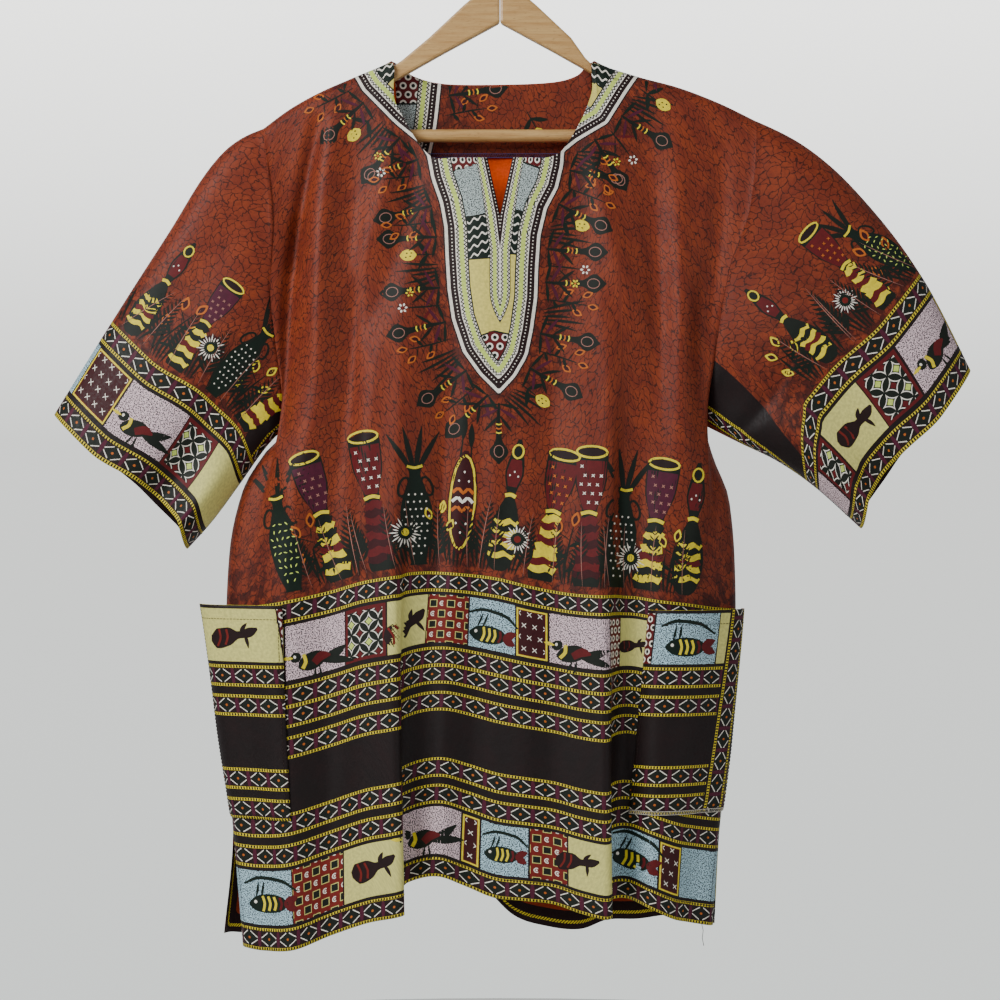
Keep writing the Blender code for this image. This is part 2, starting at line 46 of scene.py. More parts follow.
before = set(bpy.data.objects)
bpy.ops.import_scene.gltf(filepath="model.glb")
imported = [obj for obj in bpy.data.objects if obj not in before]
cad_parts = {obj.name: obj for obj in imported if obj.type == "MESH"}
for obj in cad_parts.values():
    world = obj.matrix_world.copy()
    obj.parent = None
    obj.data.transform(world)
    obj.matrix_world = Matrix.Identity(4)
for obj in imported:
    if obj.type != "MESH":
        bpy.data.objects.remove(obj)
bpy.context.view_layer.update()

MM = 0.001

# ---- the garment's form, row by row ------------------------------------------------

RIDGE_RADIUS = 10.0     # cloth rounding over the hanger's arm
RIDGE_OUT = 0.45        # least distance of a panel's outer face from the hanger's plane
CHEST_DROP = 400.0      # level of the chest values in the fold tables
YOKE_DEPTH = 50.0       # a fold is halfway across to its chest place this far down

SLIT_TOP_DROP = 240.0   # neck edge at the centre front
SLIT_TIP_DROP = 293.0   # end of the neck slit
SLIT_HALF = 11.5        # half the slit's width at the neck edge

WIRE_RADIUS = 1.75
HOOK_RADIUS = 20.0      # inside of the hook's crown

# Ridge of the shoulders over the hanger, and of its arms in the neck: x and drop.
RIDGE = ((-220, 210), (-194, 191), (-167, 176), (-135, 162), (-101, 147), (-68, 120), (0, 70),
         (66, 120), (88, 147), (126, 161), (165, 171.5), (203, 186), (238, 203))
NECK_LEFT, NECK_RIGHT = -101.0, 88.0

# Side edges of the body, from the shoulder point down the armhole to the hem.
Edge = namedtuple("Edge", "name drop front_x front_out back_x back_out")
LEFT_EDGE = (
    Edge("shoulder point", 210, -220, 10, -220, 10),
    Edge("armhole top", 240, -216, 15, -216, 14),
    Edge("armhole", 300, -211, 20, -211, 18),
    Edge("armhole", 350, -213, 21, -213, 20),
    Edge("armhole low", 444, -203, 15, -203, 15),
    Edge("underarm", 486, -198, 0.2, -198, 0.2),
    Edge("ribs", 512, -219, 0.2, -219, 0.2),
    Edge("waist", 546, -239, 0.2, -239, 0.2),
    Edge("hip", 600, -251, 0.2, -251, 0.2),
    Edge("pocket mouth", 650, -254, 0.2, -254, 0.2),
    Edge("pocket", 757, -256, 0.2, -256, 0.2),
    Edge("slit top", 860, -248, 0.2, -248, 0.2),
    Edge("hem", 967, -238, 9, -258, 8),
)
RIGHT_EDGE = (
    Edge("shoulder point", 203, 238, 10, 238, 10),
    Edge("armhole top", 233, 237, 15, 237, 14),
    Edge("armhole", 283, 231, 20, 231, 18),
    Edge("armhole", 344, 211, 21, 211, 20),
    Edge("armhole low", 432, 197, 16, 197, 16),
    Edge("underarm", 486, 191, 0.2, 191, 0.2),
    Edge("ribs", 512, 197, 0.2, 197, 0.2),
    Edge("waist", 555, 213, 0.2, 213, 0.2),
    Edge("hip", 610, 218, 0.2, 218, 0.2),
    Edge("pocket mouth", 655, 219, 0.2, 219, 0.2),
    Edge("pocket", 776, 213, 0.2, 213, 0.2),
    Edge("slit top", 860, 204, 0.2, 204, 0.2),
    Edge("hem", 949, 197, 9, 200, 8),
)

# One row for each fold of a panel, crest or trough, from left to right.
Fold = namedtuple("Fold", "name top_x top_drop top_out chest_x chest_out "
                          "border_x border_drop border_out hem_x hem_drop hem_out")
FRONT_FOLDS = (
    Fold("arm valley left", -194, 191, 10, -190, 21, -229, 652, 26, -216, 969, 27),
    Fold("swell left", -165, 175, 10, -166, 38, -198, 647, 44, -188, 966, 43),
    Fold("dip left", -135, 162, 10, -138, 28, -157, 638, 36, -155, 954, 34),
    Fold("neck point left", -101, 147, 10, -124, 34, -127, 629, 48, -121, 940, 53),
    Fold("crest left", -98, 182, 12, -96, 41, -100, 624, 58, -94, 933, 67),
    Fold("nose left", -91, 198, 14, -84, 41, -91, 623, 55, -87, 930, 60),
    Fold("turn left", -83, 213, 17, -71, 38, -85, 621, 48, -104, 924, 51),
    Fold("under left", -72, 230, 22, -57, 35, -74, 620, 42, -98, 913, 38),
    Fold("base left", -60, 240, 25, -43, 35, -60, 620, 38, -78, 903, 34),
    Fold("swell middle", -44, 240, 27, -29, 38, -42, 621, 42, -56, 899, 42),
    Fold("dip middle", -28, 240, 28, -14, 40, -21, 623, 38, -32, 909, 32),
    Fold("centre", 0, 240, 28, 0, 40, 0, 626, 42, -5, 919, 38),
    Fold("soft right", 27, 240, 28, 16, 39, 24, 632, 46, 22, 921, 45),
    Fold("rise right", 42, 240, 27, 33, 36, 48, 637, 46, 49, 924, 46),
    Fold("swell right", 55, 235, 25, 52, 34, 70, 640, 52, 73, 931, 55),
    Fold("crest right", 64, 223, 21, 68, 36, 90, 641, 60, 95, 935, 66),
    Fold("nose right", 71, 211, 18, 82, 39, 99, 641, 57, 102, 933, 60),
    Fold("turn right", 78, 197, 15, 95, 41, 105, 641, 49, 91, 930, 48),
    Fold("trough right", 85, 176, 12, 110, 38, 113, 642, 38, 102, 922, 30),
    Fold("neck point right", 88, 147, 10, 130, 33, 126, 643, 36, 118, 921, 30),
    Fold("swell outer right", 126, 161, 10, 147, 27, 146, 646, 46, 137, 928, 47),
    Fold("dip outer right", 165, 171, 10, 166, 36, 171, 649, 42, 158, 938, 40),
    Fold("arm valley right", 203, 186, 10, 184, 23, 197, 653, 26, 173, 943, 25),
)
BACK_FOLDS = (
    Fold("arm valley left", -194, 191, 10, -188, 22, -224, 650, 26, -232, 960, 28),
    Fold("swell left", -163, 174, 10, -160, 34, -184, 645, 40, -192, 956, 44),
    Fold("dip left", -130, 160, 10, -128, 27, -142, 641, 30, -148, 950, 28),
    Fold("neck point left", -101, 147, 10, -98, 33, -102, 640, 42, -104, 930, 46),
    Fold("neck bend left", -81, 159, 13, -67, 28, -64, 640, 31, -64, 898, 30),
    Fold("neck left", -54, 166, 14, -36, 31, -26, 640, 37, -24, 912, 40),
    Fold("neck middle", -8, 167, 14, 0, 34, 8, 640, 42, 12, 946, 44),
    Fold("neck right", 46, 165, 14, 34, 30, 44, 640, 32, 44, 955, 31),
    Fold("neck bend right", 71, 159, 13, 62, 28, 76, 640, 31, 75, 958, 32),
    Fold("neck point right", 88, 147, 10, 92, 32, 105, 642, 40, 101, 951, 44),
    Fold("dip right", 124, 160, 10, 124, 26, 137, 645, 30, 129, 948, 30),
    Fold("swell right", 163, 171, 10, 157, 34, 168, 649, 40, 155, 946, 40),
    Fold("arm valley right", 203, 186, 10, 182, 23, 196, 652, 26, 176, 944, 27),
)

# Rows of a panel: fixed steps over the ridge, then shares down to each level.
RIDGE_STEPS = (0.0, 0.5, 1.2, 2.2, 3.6, 5.5, 7.7, 10.0)
FRONT_ROWS = (49, 35, 56)
BACK_ROWS = (42, 30, 30)
ARMHOLE_SHARE = 0.6     # share of the rows from chest to border that end at the underarm

# A sleeve is a tube of sections, from the armhole to the cuff.
Section = namedtuple("Section", "name top_x top_drop low_x low_drop front_out back_out bow curl")
LEFT_SLEEVE = (
    Section("armhole", -220, 210, -198, 486, 21, 20, 0, 0),
    Section("upper", -260, 233, -217, 505, 30, 24, 0, 0),
    Section("middle", -308, 308, -241, 539, 36, 28, 3, 4),
    Section("border", -361, 391, -266, 573, 40, 30, 9, 12),
    Section("cuff", -413, 475, -290, 600, 42, 32, 15, 20),
)
RIGHT_SLEEVE = (
    Section("armhole", 238, 203, 191, 486, 21, 20, 0, 0),
    Section("upper", 290, 230, 223, 502, 30, 24, 0, 0),
    Section("middle", 344, 284, 258, 519, 36, 28, 3, 4),
    Section("border", 394, 352, 294, 544, 40, 30, 9, 12),
    Section("cuff", 436, 434, 335, 581, 42, 32, 13, 20),
)
BOW_SHAPE = ((0, 0), (0.3, 0.1), (0.6, 0.9), (0.85, 1.0), (1, 0))
SLEEVE_RINGS = 76
SLEEVE_SIDE = 60        # steps from the top to the low edge, on each face

# A pocket is a patch of the front panel, moved out; its mouth gapes.
Pocket = namedtuple("Pocket", "name outer_column mouth_column foot_column "
                              "top_drop low_drop outer_swing gape")
LEFT_POCKET = Pocket("pocket_left", 0.05, 3.0, 3.05, 651, 848, -20, 11)
RIGHT_POCKET = Pocket("pocket_right", 25.95, 21.6, 20.9, 655, 842, 0, 12)
POCKET_ACROSS, POCKET_DOWN = 48, 72
POCKET_LIFT = 1.3       # above the panel's outer face, along the sewn edges

FACING_LOW_DROP = 241.0
FACING_ROLL = 3.0       # the rolled lower edge stands this far off the back

# ---- curves and surfaces -------------------------------------------------------------


def smooth(knots, values, at):
    """Monotone cubic through the knots: it never swings past a stated value."""
    knots, values = np.asarray(knots, float), np.asarray(values, float)
    at = np.clip(at, knots[0], knots[-1])
    step = np.diff(knots)
    rise = np.diff(values) / step
    slope = np.zeros(len(knots))
    slope[0], slope[-1] = rise[0], rise[-1]
    for i in range(1, len(knots) - 1):
        if rise[i - 1] * rise[i] > 0:
            slope[i] = 2 * rise[i - 1] * rise[i] / (rise[i - 1] + rise[i])
    i = np.clip(np.searchsorted(knots, at, side="right") - 1, 0, len(step) - 1)
    h = step[i]
    t = (at - knots[i]) / h
    return (values[i] * (1 + 2 * t) * (1 - t) ** 2 + slope[i] * h * t * (1 - t) ** 2
            + values[i + 1] * t * t * (3 - 2 * t) + slope[i + 1] * h * t * t * (t - 1))


def run_along(line):
    """Length run along a line up to each of its points."""
    return np.concatenate([[0], np.cumsum(np.linalg.norm(np.diff(line, axis=0), axis=1))])


def at_length(at, run, line):
    """Points of a line, or the normals at its points, at given lengths along it."""
    return np.stack([np.interp(at, run, values) for values in np.transpose(line)], axis=-1)


def across(columns, at):
    """Round curve through neighbouring columns, read at the fractional places `at`."""
    columns, at = np.asarray(columns, float), np.asarray(at, float)
    last = len(columns) - 1
    i = np.clip(np.floor(at).astype(int), 0, last - 1)
    t = (at - i).reshape(-1, *([1] * (columns.ndim - 1)))
    before, start = columns[np.maximum(i - 1, 0)], columns[i]
    end, after = columns[i + 1], columns[np.minimum(i + 2, last)]
    return 0.5 * (2 * start + (end - before) * t
                  + (2 * before - 5 * start + 4 * end - after) * t ** 2
                  + (3 * start - before - 3 * end + after) * t ** 3)


def ridge_drop(x):
    """Drop of the shoulder ridge at x."""
    return smooth([place[0] for place in RIDGE], [place[1] for place in RIDGE], x)


def ridge_share(below):
    """Share of its full depth that cloth has at a distance below the ridge."""
    down = np.clip(np.asarray(below, float) / RIDGE_RADIUS, 0, 1)
    return np.sqrt(1 - (1 - down) ** 2)


def edge_at(edge, drop, face):
    """x and out of a side edge at a drop, for the front or the back panel."""
    drops = [row.drop for row in edge]
    return (smooth(drops, [getattr(row, face + "_x") for row in edge], drop),
            smooth(drops, [getattr(row, face + "_out") for row in edge], drop))


def row_drops(top, border, hem, rows):
    """Drops of a column's points from its top to the hem."""
    levels = (top + RIDGE_STEPS[-1], CHEST_DROP, border, hem)
    parts = [top + np.array(RIDGE_STEPS)]
    for low, high, count in zip(levels, levels[1:], rows):
        parts.append(low + (high - low) * np.arange(1, count + 1) / count)
    return np.concatenate(parts)


def fold_column(fold, rows):
    """Points (x, drop, out) down one fold of a panel."""
    yoke_x = (fold.top_x + fold.chest_x) / 2
    levels = (fold.top_drop, CHEST_DROP, fold.border_drop, fold.hem_drop)
    x_levels = (fold.top_drop, fold.top_drop + YOKE_DEPTH, *levels[1:])
    drops = row_drops(fold.top_drop, fold.border_drop, fold.hem_drop, rows)
    x = smooth(x_levels, (fold.top_x, yoke_x, fold.chest_x, fold.border_x, fold.hem_x), drops)
    out = smooth(levels, (fold.top_out, fold.chest_out, fold.border_out, fold.hem_out), drops)
    return np.stack([x, drops, out], axis=1)


def edge_drops(edge, border, hem, rows):
    """Drops down a side edge, with one of its points on the underarm."""
    drops = row_drops(edge[0].drop, border, hem, rows)
    first = len(RIDGE_STEPS) + rows[0] - 1
    last = first + rows[1]
    held = round(rows[1] * ARMHOLE_SHARE)
    bottom = next(row for row in edge if row.name == "underarm").drop
    closing = np.linspace(0, 1, held + 1) ** 0.75
    drops[first:first + held + 1] = CHEST_DROP + (bottom - CHEST_DROP) * closing
    drops[first + held:last + 1] = np.linspace(bottom, border, rows[1] - held + 1)
    return drops


def edge_column(edge, face, border, hem, rows):
    """Points (x, drop, out) down a side edge of a panel."""
    drops = edge_drops(edge, border, hem, rows)
    x, out = edge_at(edge, drops, face)
    return np.stack([x, drops, out], axis=1)


def panel_columns(folds, face, rows):
    """Every column of a panel: edge, its roll, the folds, then roll and edge."""
    inner = [fold_column(fold, rows) for fold in folds]
    left = edge_column(LEFT_EDGE, face, folds[0].border_drop + 2, folds[0].hem_drop - 2, rows)
    right = edge_column(RIGHT_EDGE, face, folds[-1].border_drop + 2, folds[-1].hem_drop + 5, rows)
    roll_left = left + (inner[0] - left) * (0.22, 0.22, 0.55)
    roll_right = right + (inner[-1] - right) * (0.22, 0.22, 0.55)
    return np.array([left, roll_left, *inner, roll_right, right])


def over_ridge(points):
    """Lay the top rows of a panel over the ridge of the shoulders."""
    points = points.copy()
    x = points[..., 0]
    shoulder = (x <= NECK_LEFT + 0.01) | (x >= NECK_RIGHT - 0.01)
    for row, step in enumerate(RIDGE_STEPS):
        on = shoulder[:, row]
        points[on, row, 1] = ridge_drop(x[on, row]) + step
    below = points[..., 1] - ridge_drop(x)
    points[..., 2] = np.maximum(points[..., 2] * ridge_share(below), RIDGE_OUT)
    return points


def column_places(folds, step):
    """Fractional column numbers, closer together where the neck turns down."""
    last = len(folds) + 3
    places = set(np.arange(0, last + 0.001, step).round(3))
    for fold, side in (("neck point left", 1), ("neck point right", -1)):
        number = [row.name for row in folds].index(fold) + 2
        places |= {round(number + side * part, 3) for part in (0.02, 0.05, 0.14, 0.32)}
    return np.array(sorted(places))


def slit_half(drop):
    """Half the width of the neck slit at a drop."""
    share = (SLIT_TIP_DROP - drop) / (SLIT_TIP_DROP - SLIT_TOP_DROP)
    return SLIT_HALF * np.clip(share, 0, 1)


def to_world(points, facing):
    """(x, drop, out) in millimetres to (x, y, z) in metres; facing is -1 front, 1 back."""
    x, drop, out = points[..., 0], points[..., 1], points[..., 2]
    return np.stack([x, facing * out, -drop], axis=-1) * MM


def normals(world):
    """Normals of a grid of world points, on the side away from the hanger's plane."""
    cross = np.cross(np.gradient(world, axis=1), np.gradient(world, axis=0))
    return cross / np.maximum(np.linalg.norm(cross, axis=2, keepdims=True), 1e-12)


def outward(world, away_from_middle=False):
    """Normals of a cloth grid, towards the front or away from the middle of a tube."""
    normal = normals(world)
    if away_from_middle:
        return normal * np.sign(((world - world.mean(axis=1, keepdims=True)) * normal).sum())
    return normal * -np.sign(normal[..., 1].mean())


# ---- creases laid into the cloth ------------------------------------------------------

# start and end (x, drop), half width, depth (out is positive), how far it bows sideways
Crease = namedtuple("Crease", "name x0 drop0 x1 drop1 width depth bow")


def creased(points, creases, scale):
    """Move a panel's points in or out along soft ridges and troughs."""
    points = points.copy()
    for row in creases:
        start, end = np.array([row.x0, row.drop0]), np.array([row.x1, row.drop1])
        run = end - start
        length = np.hypot(*run)
        run = run / length
        flat = points[..., :2] - start
        along = np.clip((flat @ run) / length, 0, 1)
        bow = row.bow * 4 * along * (1 - along)
        side = flat @ np.array([-run[1], run[0]]) - bow
        beyond = (flat @ run) - along * length
        reach = np.hypot(side, beyond)
        fade = np.sin(np.pi * np.clip(along * 0.84 + 0.08, 0, 1)) ** 0.7
        points[..., 2] += scale * row.depth * fade * np.exp(-(reach / row.width) ** 2)
    return points

FRONT_CREASES = (
    Crease("shoulder valley", -168, 206, -190, 340, 7, -11, 2),
    Crease("armhole pull left", -188, 300, -202, 490, 7, -9, 2),
    Crease("armhole lip left", -154, 215, -172, 430, 11, 5, 3),
    Crease("armhole pull right", 205, 230, 190, 430, 9, -4, -4),
    Crease("armhole lip right", 190, 250, 172, 400, 10, 3, -4),
    Crease("neck drag left", -96, 215, -150, 380, 13, 4.5, -6),
    Crease("neck trough left", -78, 240, -120, 400, 11, -4.5, -6),
    Crease("neck drag right", 84, 215, 130, 400, 13, 4.5, 6),
    Crease("chest fold left", -112, 400, -128, 610, 11, 4.5, 3),
    Crease("chest fold right", 104, 400, 96, 610, 11, 4.5, -3),
    Crease("below the tip", -3, 462, -6, 600, 10, 2.5, 2),
    Crease("soft left", -52, 460, -58, 625, 10, -4, -2),
    Crease("soft right", 46, 450, 52, 625, 10, -4, 2),
    Crease("side drag left", -206, 500, -170, 600, 10, 4, 5),
    Crease("side drag right", 196, 500, 168, 610, 10, 4, -5),
)
BACK_CREASES = (
    Crease("yoke left", -150, 190, -176, 330, 12, 3, 5),
    Crease("yoke right", 150, 190, 172, 340, 12, 3, -5),
    Crease("blade left", -70, 250, -90, 430, 14, -3, 4),
    Crease("blade right", 66, 260, 84, 440, 13, -3, -4),
    Crease("spine", -6, 210, -2, 420, 12, 2.5, 2),
    Crease("armhole left", -196, 250, -200, 430, 9, -3.5, 3),
    Crease("armhole right", 208, 250, 192, 430, 9, -3.5, -3),
    Crease("loin left", -120, 520, -132, 700, 13, 3, -3),
    Crease("loin right", 118, 540, 126, 720, 12, 3, 3),
)


def panel_surface(folds, face, rows, step, creases, scale):
    """Grid of a panel's outer face as (column, row, (x, drop, out)), and its column numbers."""
    columns = panel_columns(folds, face, rows)
    places = column_places(folds, step)
    points = across(columns, places)
    steady = np.clip(np.minimum(places, places[-1] - places) / 2.0, 0, 1)[:, None, None]
    moved = creased(points, creases, scale)
    points = points + (moved - points) * steady
    return places, over_ridge(points)


def arc_lengths(points, axis):
    """Length along the cloth from the first point of each row or column, in millimetres."""
    step = np.linalg.norm(np.diff(points, axis=axis), axis=2)
    start = np.zeros_like(np.take(step, [0], axis=axis))
    return np.concatenate([start, np.cumsum(step, axis=axis)], axis=axis)


# ---- what the print is laid out by -----------------------------------------------------

BORDER_HEIGHT = 327.0   # flat height of the printed border, from its first line to the hem

# The border's bands below its first line: where the diamond rows have their middles,
# where the two rows of tiles and the plain block lie.
DIAMOND_ROWS = (10.7, 90.5, 109.1, 138.0, 209.2, 237.8, 316.2)
TILE_ROWS = ((24.4, 76.4), (251.5, 301.5))
DIAMOND_HALF = 7.3      # half the height of a diamond row inside its two ropes
ROPE_WIDE = 3.4
DIAMOND_PERIOD = 22.5
ROPE_PERIOD = 2.9
CUFF_BORDER = 101.8     # height of the border on a sleeve, from its first line to the cuff
POCKET_MOUTH = 306.0    # place of a pocket's mouth on the border, which is upside down there
POCKET_PRINT = 207.0    # and how much of the border a pocket shows
POCKET_BAND = 24.0      # the right pocket's diamond band has its middle this far from its edge
HEM_DEPTH = 18.0        # the cloth turned up at the hem

# Tile kinds, in the order in which the print's nodes test for them.
CREAM, PINK, BLUE, RINGS, GRID, FLOWERS, STRIP = range(1, 8)

# Outline of the collar's print: x and drop from the left shoulder to the tip and up again.
COLLAR_LEFT = ((-135, 150), (-135, 162), (-127, 176), (-97, 207), (-74, 226), (-67, 238),
               (-63, 259), (-55, 282), (-51, 304), (-50, 330), (-48, 362), (-44, 389),
               (-34, 419), (-19, 440), (-1, 458))
COLLAR_RIGHT = ((128, 150), (128, 162), (117, 178), (99, 207), (71, 224), (59, 234), (58, 247),
                (53, 268), (43, 287), (37, 312), (35, 341), (34, 370), (30, 399), (25, 423),
                (14, 442), (-1, 458))


def path_places(flat, path):
    """Distance from a path, and the length along it from its last point, for many points."""
    path = np.array(path, float)
    starts, ends = path[:-1], path[1:]
    lengths = np.hypot(*(ends - starts).T)
    ahead = np.concatenate([np.cumsum(lengths[::-1])[::-1], [0]])
    best = np.full(len(flat), 1e9)
    along = np.zeros(len(flat))
    for start, end, length, left in zip(starts, ends, lengths, ahead[:-1]):
        t = np.clip(((flat - start) @ (end - start)) / length ** 2, 0, 1)
        reach = np.hypot(*(flat - start - t[:, None] * (end - start)).T)
        nearer = reach < best
        best = np.where(nearer, reach, best)
        along = np.where(nearer, left - t * length, along)
    return best, along


def inside(flat, loop):
    """Which points lie inside a closed loop."""
    held = np.zeros(len(flat), bool)
    for (x0, y0), (x1, y1) in zip(loop, [*loop[1:], loop[0]]):
        between = (flat[:, 1] < y0) != (flat[:, 1] < y1)
        at = x0 + (flat[:, 1] - y0) * (x1 - x0) / (y1 - y0 + 1e-12)
        held ^= between & (flat[:, 0] < at)
    return held


def collar_places(points):
    """For each point: length along the collar's outline from its tip, and depth inside it."""
    flat = points[..., :2].reshape(-1, 2)
    left = path_places(flat, COLLAR_LEFT)
    right = path_places(flat, COLLAR_RIGHT)
    near = left[0] <= right[0]
    depth = np.where(near, left[0], right[0])
    along = np.where(near, left[1], right[1])
    within = inside(flat, [*COLLAR_LEFT, *COLLAR_RIGHT[-2::-1]])
    depth = np.where(within, depth, -depth)
    return along.reshape(points.shape[:2]), depth.reshape(points.shape[:2])

# ---- cloth pieces ------------------------------------------------------------------------


REVERSE_SLOT = 3        # slot of the cloth's unprinted side, after ground, border and collar


def grid_faces(columns, rows, number):
    """Quads between the points of a grid; number(i, j) gives a point's place in the list."""
    return [(number(i, j), number(i, j + 1), number(i + 1, j + 1), number(i + 1, j))
            for i in range(columns - 1) for j in range(rows - 1)]


def sheet_faces(points):
    """Quads of a whole grid of points."""
    columns, rows = points.shape[:2]
    return grid_faces(columns, rows, lambda i, j: i * rows + j)


def ridden(name, mesh):
    """A mesh as an object of the scene, carried by the part's root."""
    piece = bpy.data.objects.new(name, mesh)
    bpy.context.scene.collection.objects.link(piece)
    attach(piece, "root")
    return piece


def cloth_piece(name, world, faces, places, tiles=None, outward=True, thickness=0.6):
    """A thin sheet of cloth. `places` maps a name to (a, b) for each point, for the print."""
    mesh = bpy.data.meshes.new(name)
    mesh.from_pydata(world.tolist(), [], faces if outward else [f[::-1] for f in faces])
    for title, (first, second) in places.items():
        layer = mesh.attributes.new(title, "FLOAT_VECTOR", "POINT")
        data = np.zeros((len(world), 3), np.float32)
        data[:, 0], data[:, 1] = first, second
        layer.data.foreach_set("vector", data.ravel())
    add_tiles(mesh, places["border"], tiles or ())
    mesh.polygons.foreach_set("material_index", print_parts(faces, places))
    mesh.shade_smooth()
    piece = ridden(name, mesh)
    wall = piece.modifiers.new("cloth", "SOLIDIFY")
    wall.thickness = thickness * MM
    wall.offset = -1
    wall.use_rim = True
    wall.material_offset = REVERSE_SLOT
    return piece


def print_parts(faces, places):
    """Material slot of each face: 0 ground, 1 border, 2 collar."""
    corners = np.array(faces)
    band = np.asarray(places["band"][1])[corners]
    w = np.asarray(places["border"][1])[corners].max(axis=1)
    depth = np.asarray(places["collar"][1])[corners].max(axis=1)
    banded = (band.max(axis=1) > -38) & (band.min(axis=1) < 16)
    return np.where((w > -1) | banded, 1, np.where(depth > -3, 2, 0))


def add_tiles(mesh, border, tiles):
    """Give each face inside a tile its tile's kind, and its corners their place in it."""
    count = len(mesh.loops)
    corner = np.zeros(count, np.int32)
    mesh.loops.foreach_get("vertex_index", corner)
    along, down = np.asarray(border[0])[corner], np.asarray(border[1])[corner]
    totals = np.zeros(len(mesh.polygons), np.int32)
    mesh.polygons.foreach_get("loop_total", totals)
    face = np.repeat(np.arange(len(totals)), totals)
    middle_along = (np.bincount(face, along) / totals)[face]
    middle_down = (np.bincount(face, down) / totals)[face]
    data = np.zeros((count, 3), np.float32)
    for tile in tiles:
        low, high = TILE_ROWS[tile.row]
        held = ((middle_along >= tile.start) & (middle_along < tile.end)
                & (middle_down > low - 12) & (middle_down < high + 12))
        data[held, 0] = along[held] - tile.start
        data[held, 1] = tile.kind
        data[held, 2] = tile.end - tile.start
    layer = mesh.attributes.new("tile", "FLOAT_VECTOR", "CORNER")
    layer.data.foreach_set("vector", data.ravel())


Tile = namedtuple("Tile", "row start end kind")
FAR = 1000.0
VENT_TOP = 238.0        # the side seams are open below this place on the border


def panel_places(points, panel_rows, centre):
    """Border, cloth and arc places of a panel's points, before its collar and seams."""
    rows = points.shape[1]
    border_row = len(RIDGE_STEPS) + sum(panel_rows[:2]) - 1
    along, down = arc_lengths(points, 0), arc_lengths(points, 1)
    along -= along[centre]
    u = (along[:, border_row] + along[:, -1]) / 2
    border_drop = points[:, border_row, 1][:, None]
    share = (np.arange(rows) - border_row) / (rows - 1 - border_row)
    w = np.where(share[None, :] > 0, share[None, :] * BORDER_HEIGHT, points[..., 1] - border_drop)
    from_side = np.minimum(u - u.min(), u.max() - u)[:, None]
    turned = np.minimum(BORDER_HEIGHT - w, np.where(w > VENT_TOP, from_side, FAR))
    return {"border": (np.broadcast_to(u[:, None], w.shape), w),
            "cloth": (along, down), "hem": (turned, np.zeros_like(w))}


def blank(like, first=FAR, second=FAR):
    """Places far from a part of the print that a piece doesn't carry."""
    return np.full(like.shape, first), np.full(like.shape, second)


def flatten(places, extra=(0, 0)):
    """Grid places as flat lists, with the right lip of the slit added at the end."""
    column, count = extra
    return {name: [np.concatenate([np.ravel(values), values[column, :count]]) for values in pair]
            for name, pair in places.items()}


def build_front(crease_scale, thickness):
    """Front panel, open down the neck slit at its centre column."""
    places, points = panel_surface(FRONT_FOLDS, "front", FRONT_ROWS, 0.125, FRONT_CREASES, crease_scale)
    columns, rows = points.shape[:2]
    centre_name = [row.name for row in FRONT_FOLDS].index("centre") + 2
    centre = int(np.argmin(abs(places - centre_name)))
    half = slit_half(points[centre, :, 1])
    slit = abs(points[..., 0] - points[centre, :, 0])
    print_places = {**panel_places(points, FRONT_ROWS, centre), "collar": collar_places(points),
                    "slit": (slit, points[..., 1]), "band": blank(slit)}

    # The slit opens the centre column, and eases the columns beside it.
    open_rows = int((half > 0.01).sum())
    ease = np.exp(-((np.arange(columns) - centre) / 7.2) ** 2)[:, None] * half[None, :]
    shift = np.sign(np.arange(columns) - centre)[:, None] * ease
    shift[centre] = -half
    points[..., 0] += shift
    right_lip = points[centre, :open_rows].copy()
    right_lip[:, 0] += 2 * half[:open_rows]
    world = np.concatenate([to_world(points, -1).reshape(-1, 3), to_world(right_lip, -1)])
    split = columns * rows

    def right_number(i, j):
        """Place of a point right of the slit, whose lip has points of its own."""
        return split + j if i == 0 and j < open_rows else (centre + i) * rows + j

    faces = grid_faces(centre + 1, rows, lambda i, j: i * rows + j)
    faces += grid_faces(columns - centre, rows, right_number)
    return cloth_piece("shirt_front", world, faces, flatten(print_places, (centre, open_rows)),
                       FRONT_TILES, True, thickness), points


def build_back(crease_scale, thickness):
    """Back panel, with its neckline high behind the hanger."""
    points = panel_surface(BACK_FOLDS, "back", BACK_ROWS, 0.12, BACK_CREASES, crease_scale)[1]
    columns, rows = points.shape[:2]
    flat = points[..., :2].reshape(-1, 2)
    reach, along = path_places(flat, BACK_COLLAR)
    within = inside(flat, [*BACK_COLLAR, (128, 60), (-135, 60)])
    reach = np.where(within, reach, -reach).reshape(columns, rows)
    middle = path_places(np.array([[0.0, 236.0]]), BACK_COLLAR)[1][0]
    print_places = {**panel_places(points, BACK_ROWS, columns // 2), "band": blank(reach),
                    "collar": (abs(along.reshape(columns, rows) - middle) + 40, reach),
                    "slit": (np.abs(points[..., 0]) + 60, points[..., 1])}
    world = to_world(points, 1).reshape(-1, 3)
    return cloth_piece("shirt_back", world, sheet_faces(points), flatten(print_places), BACK_TILES,
                       False, thickness), points


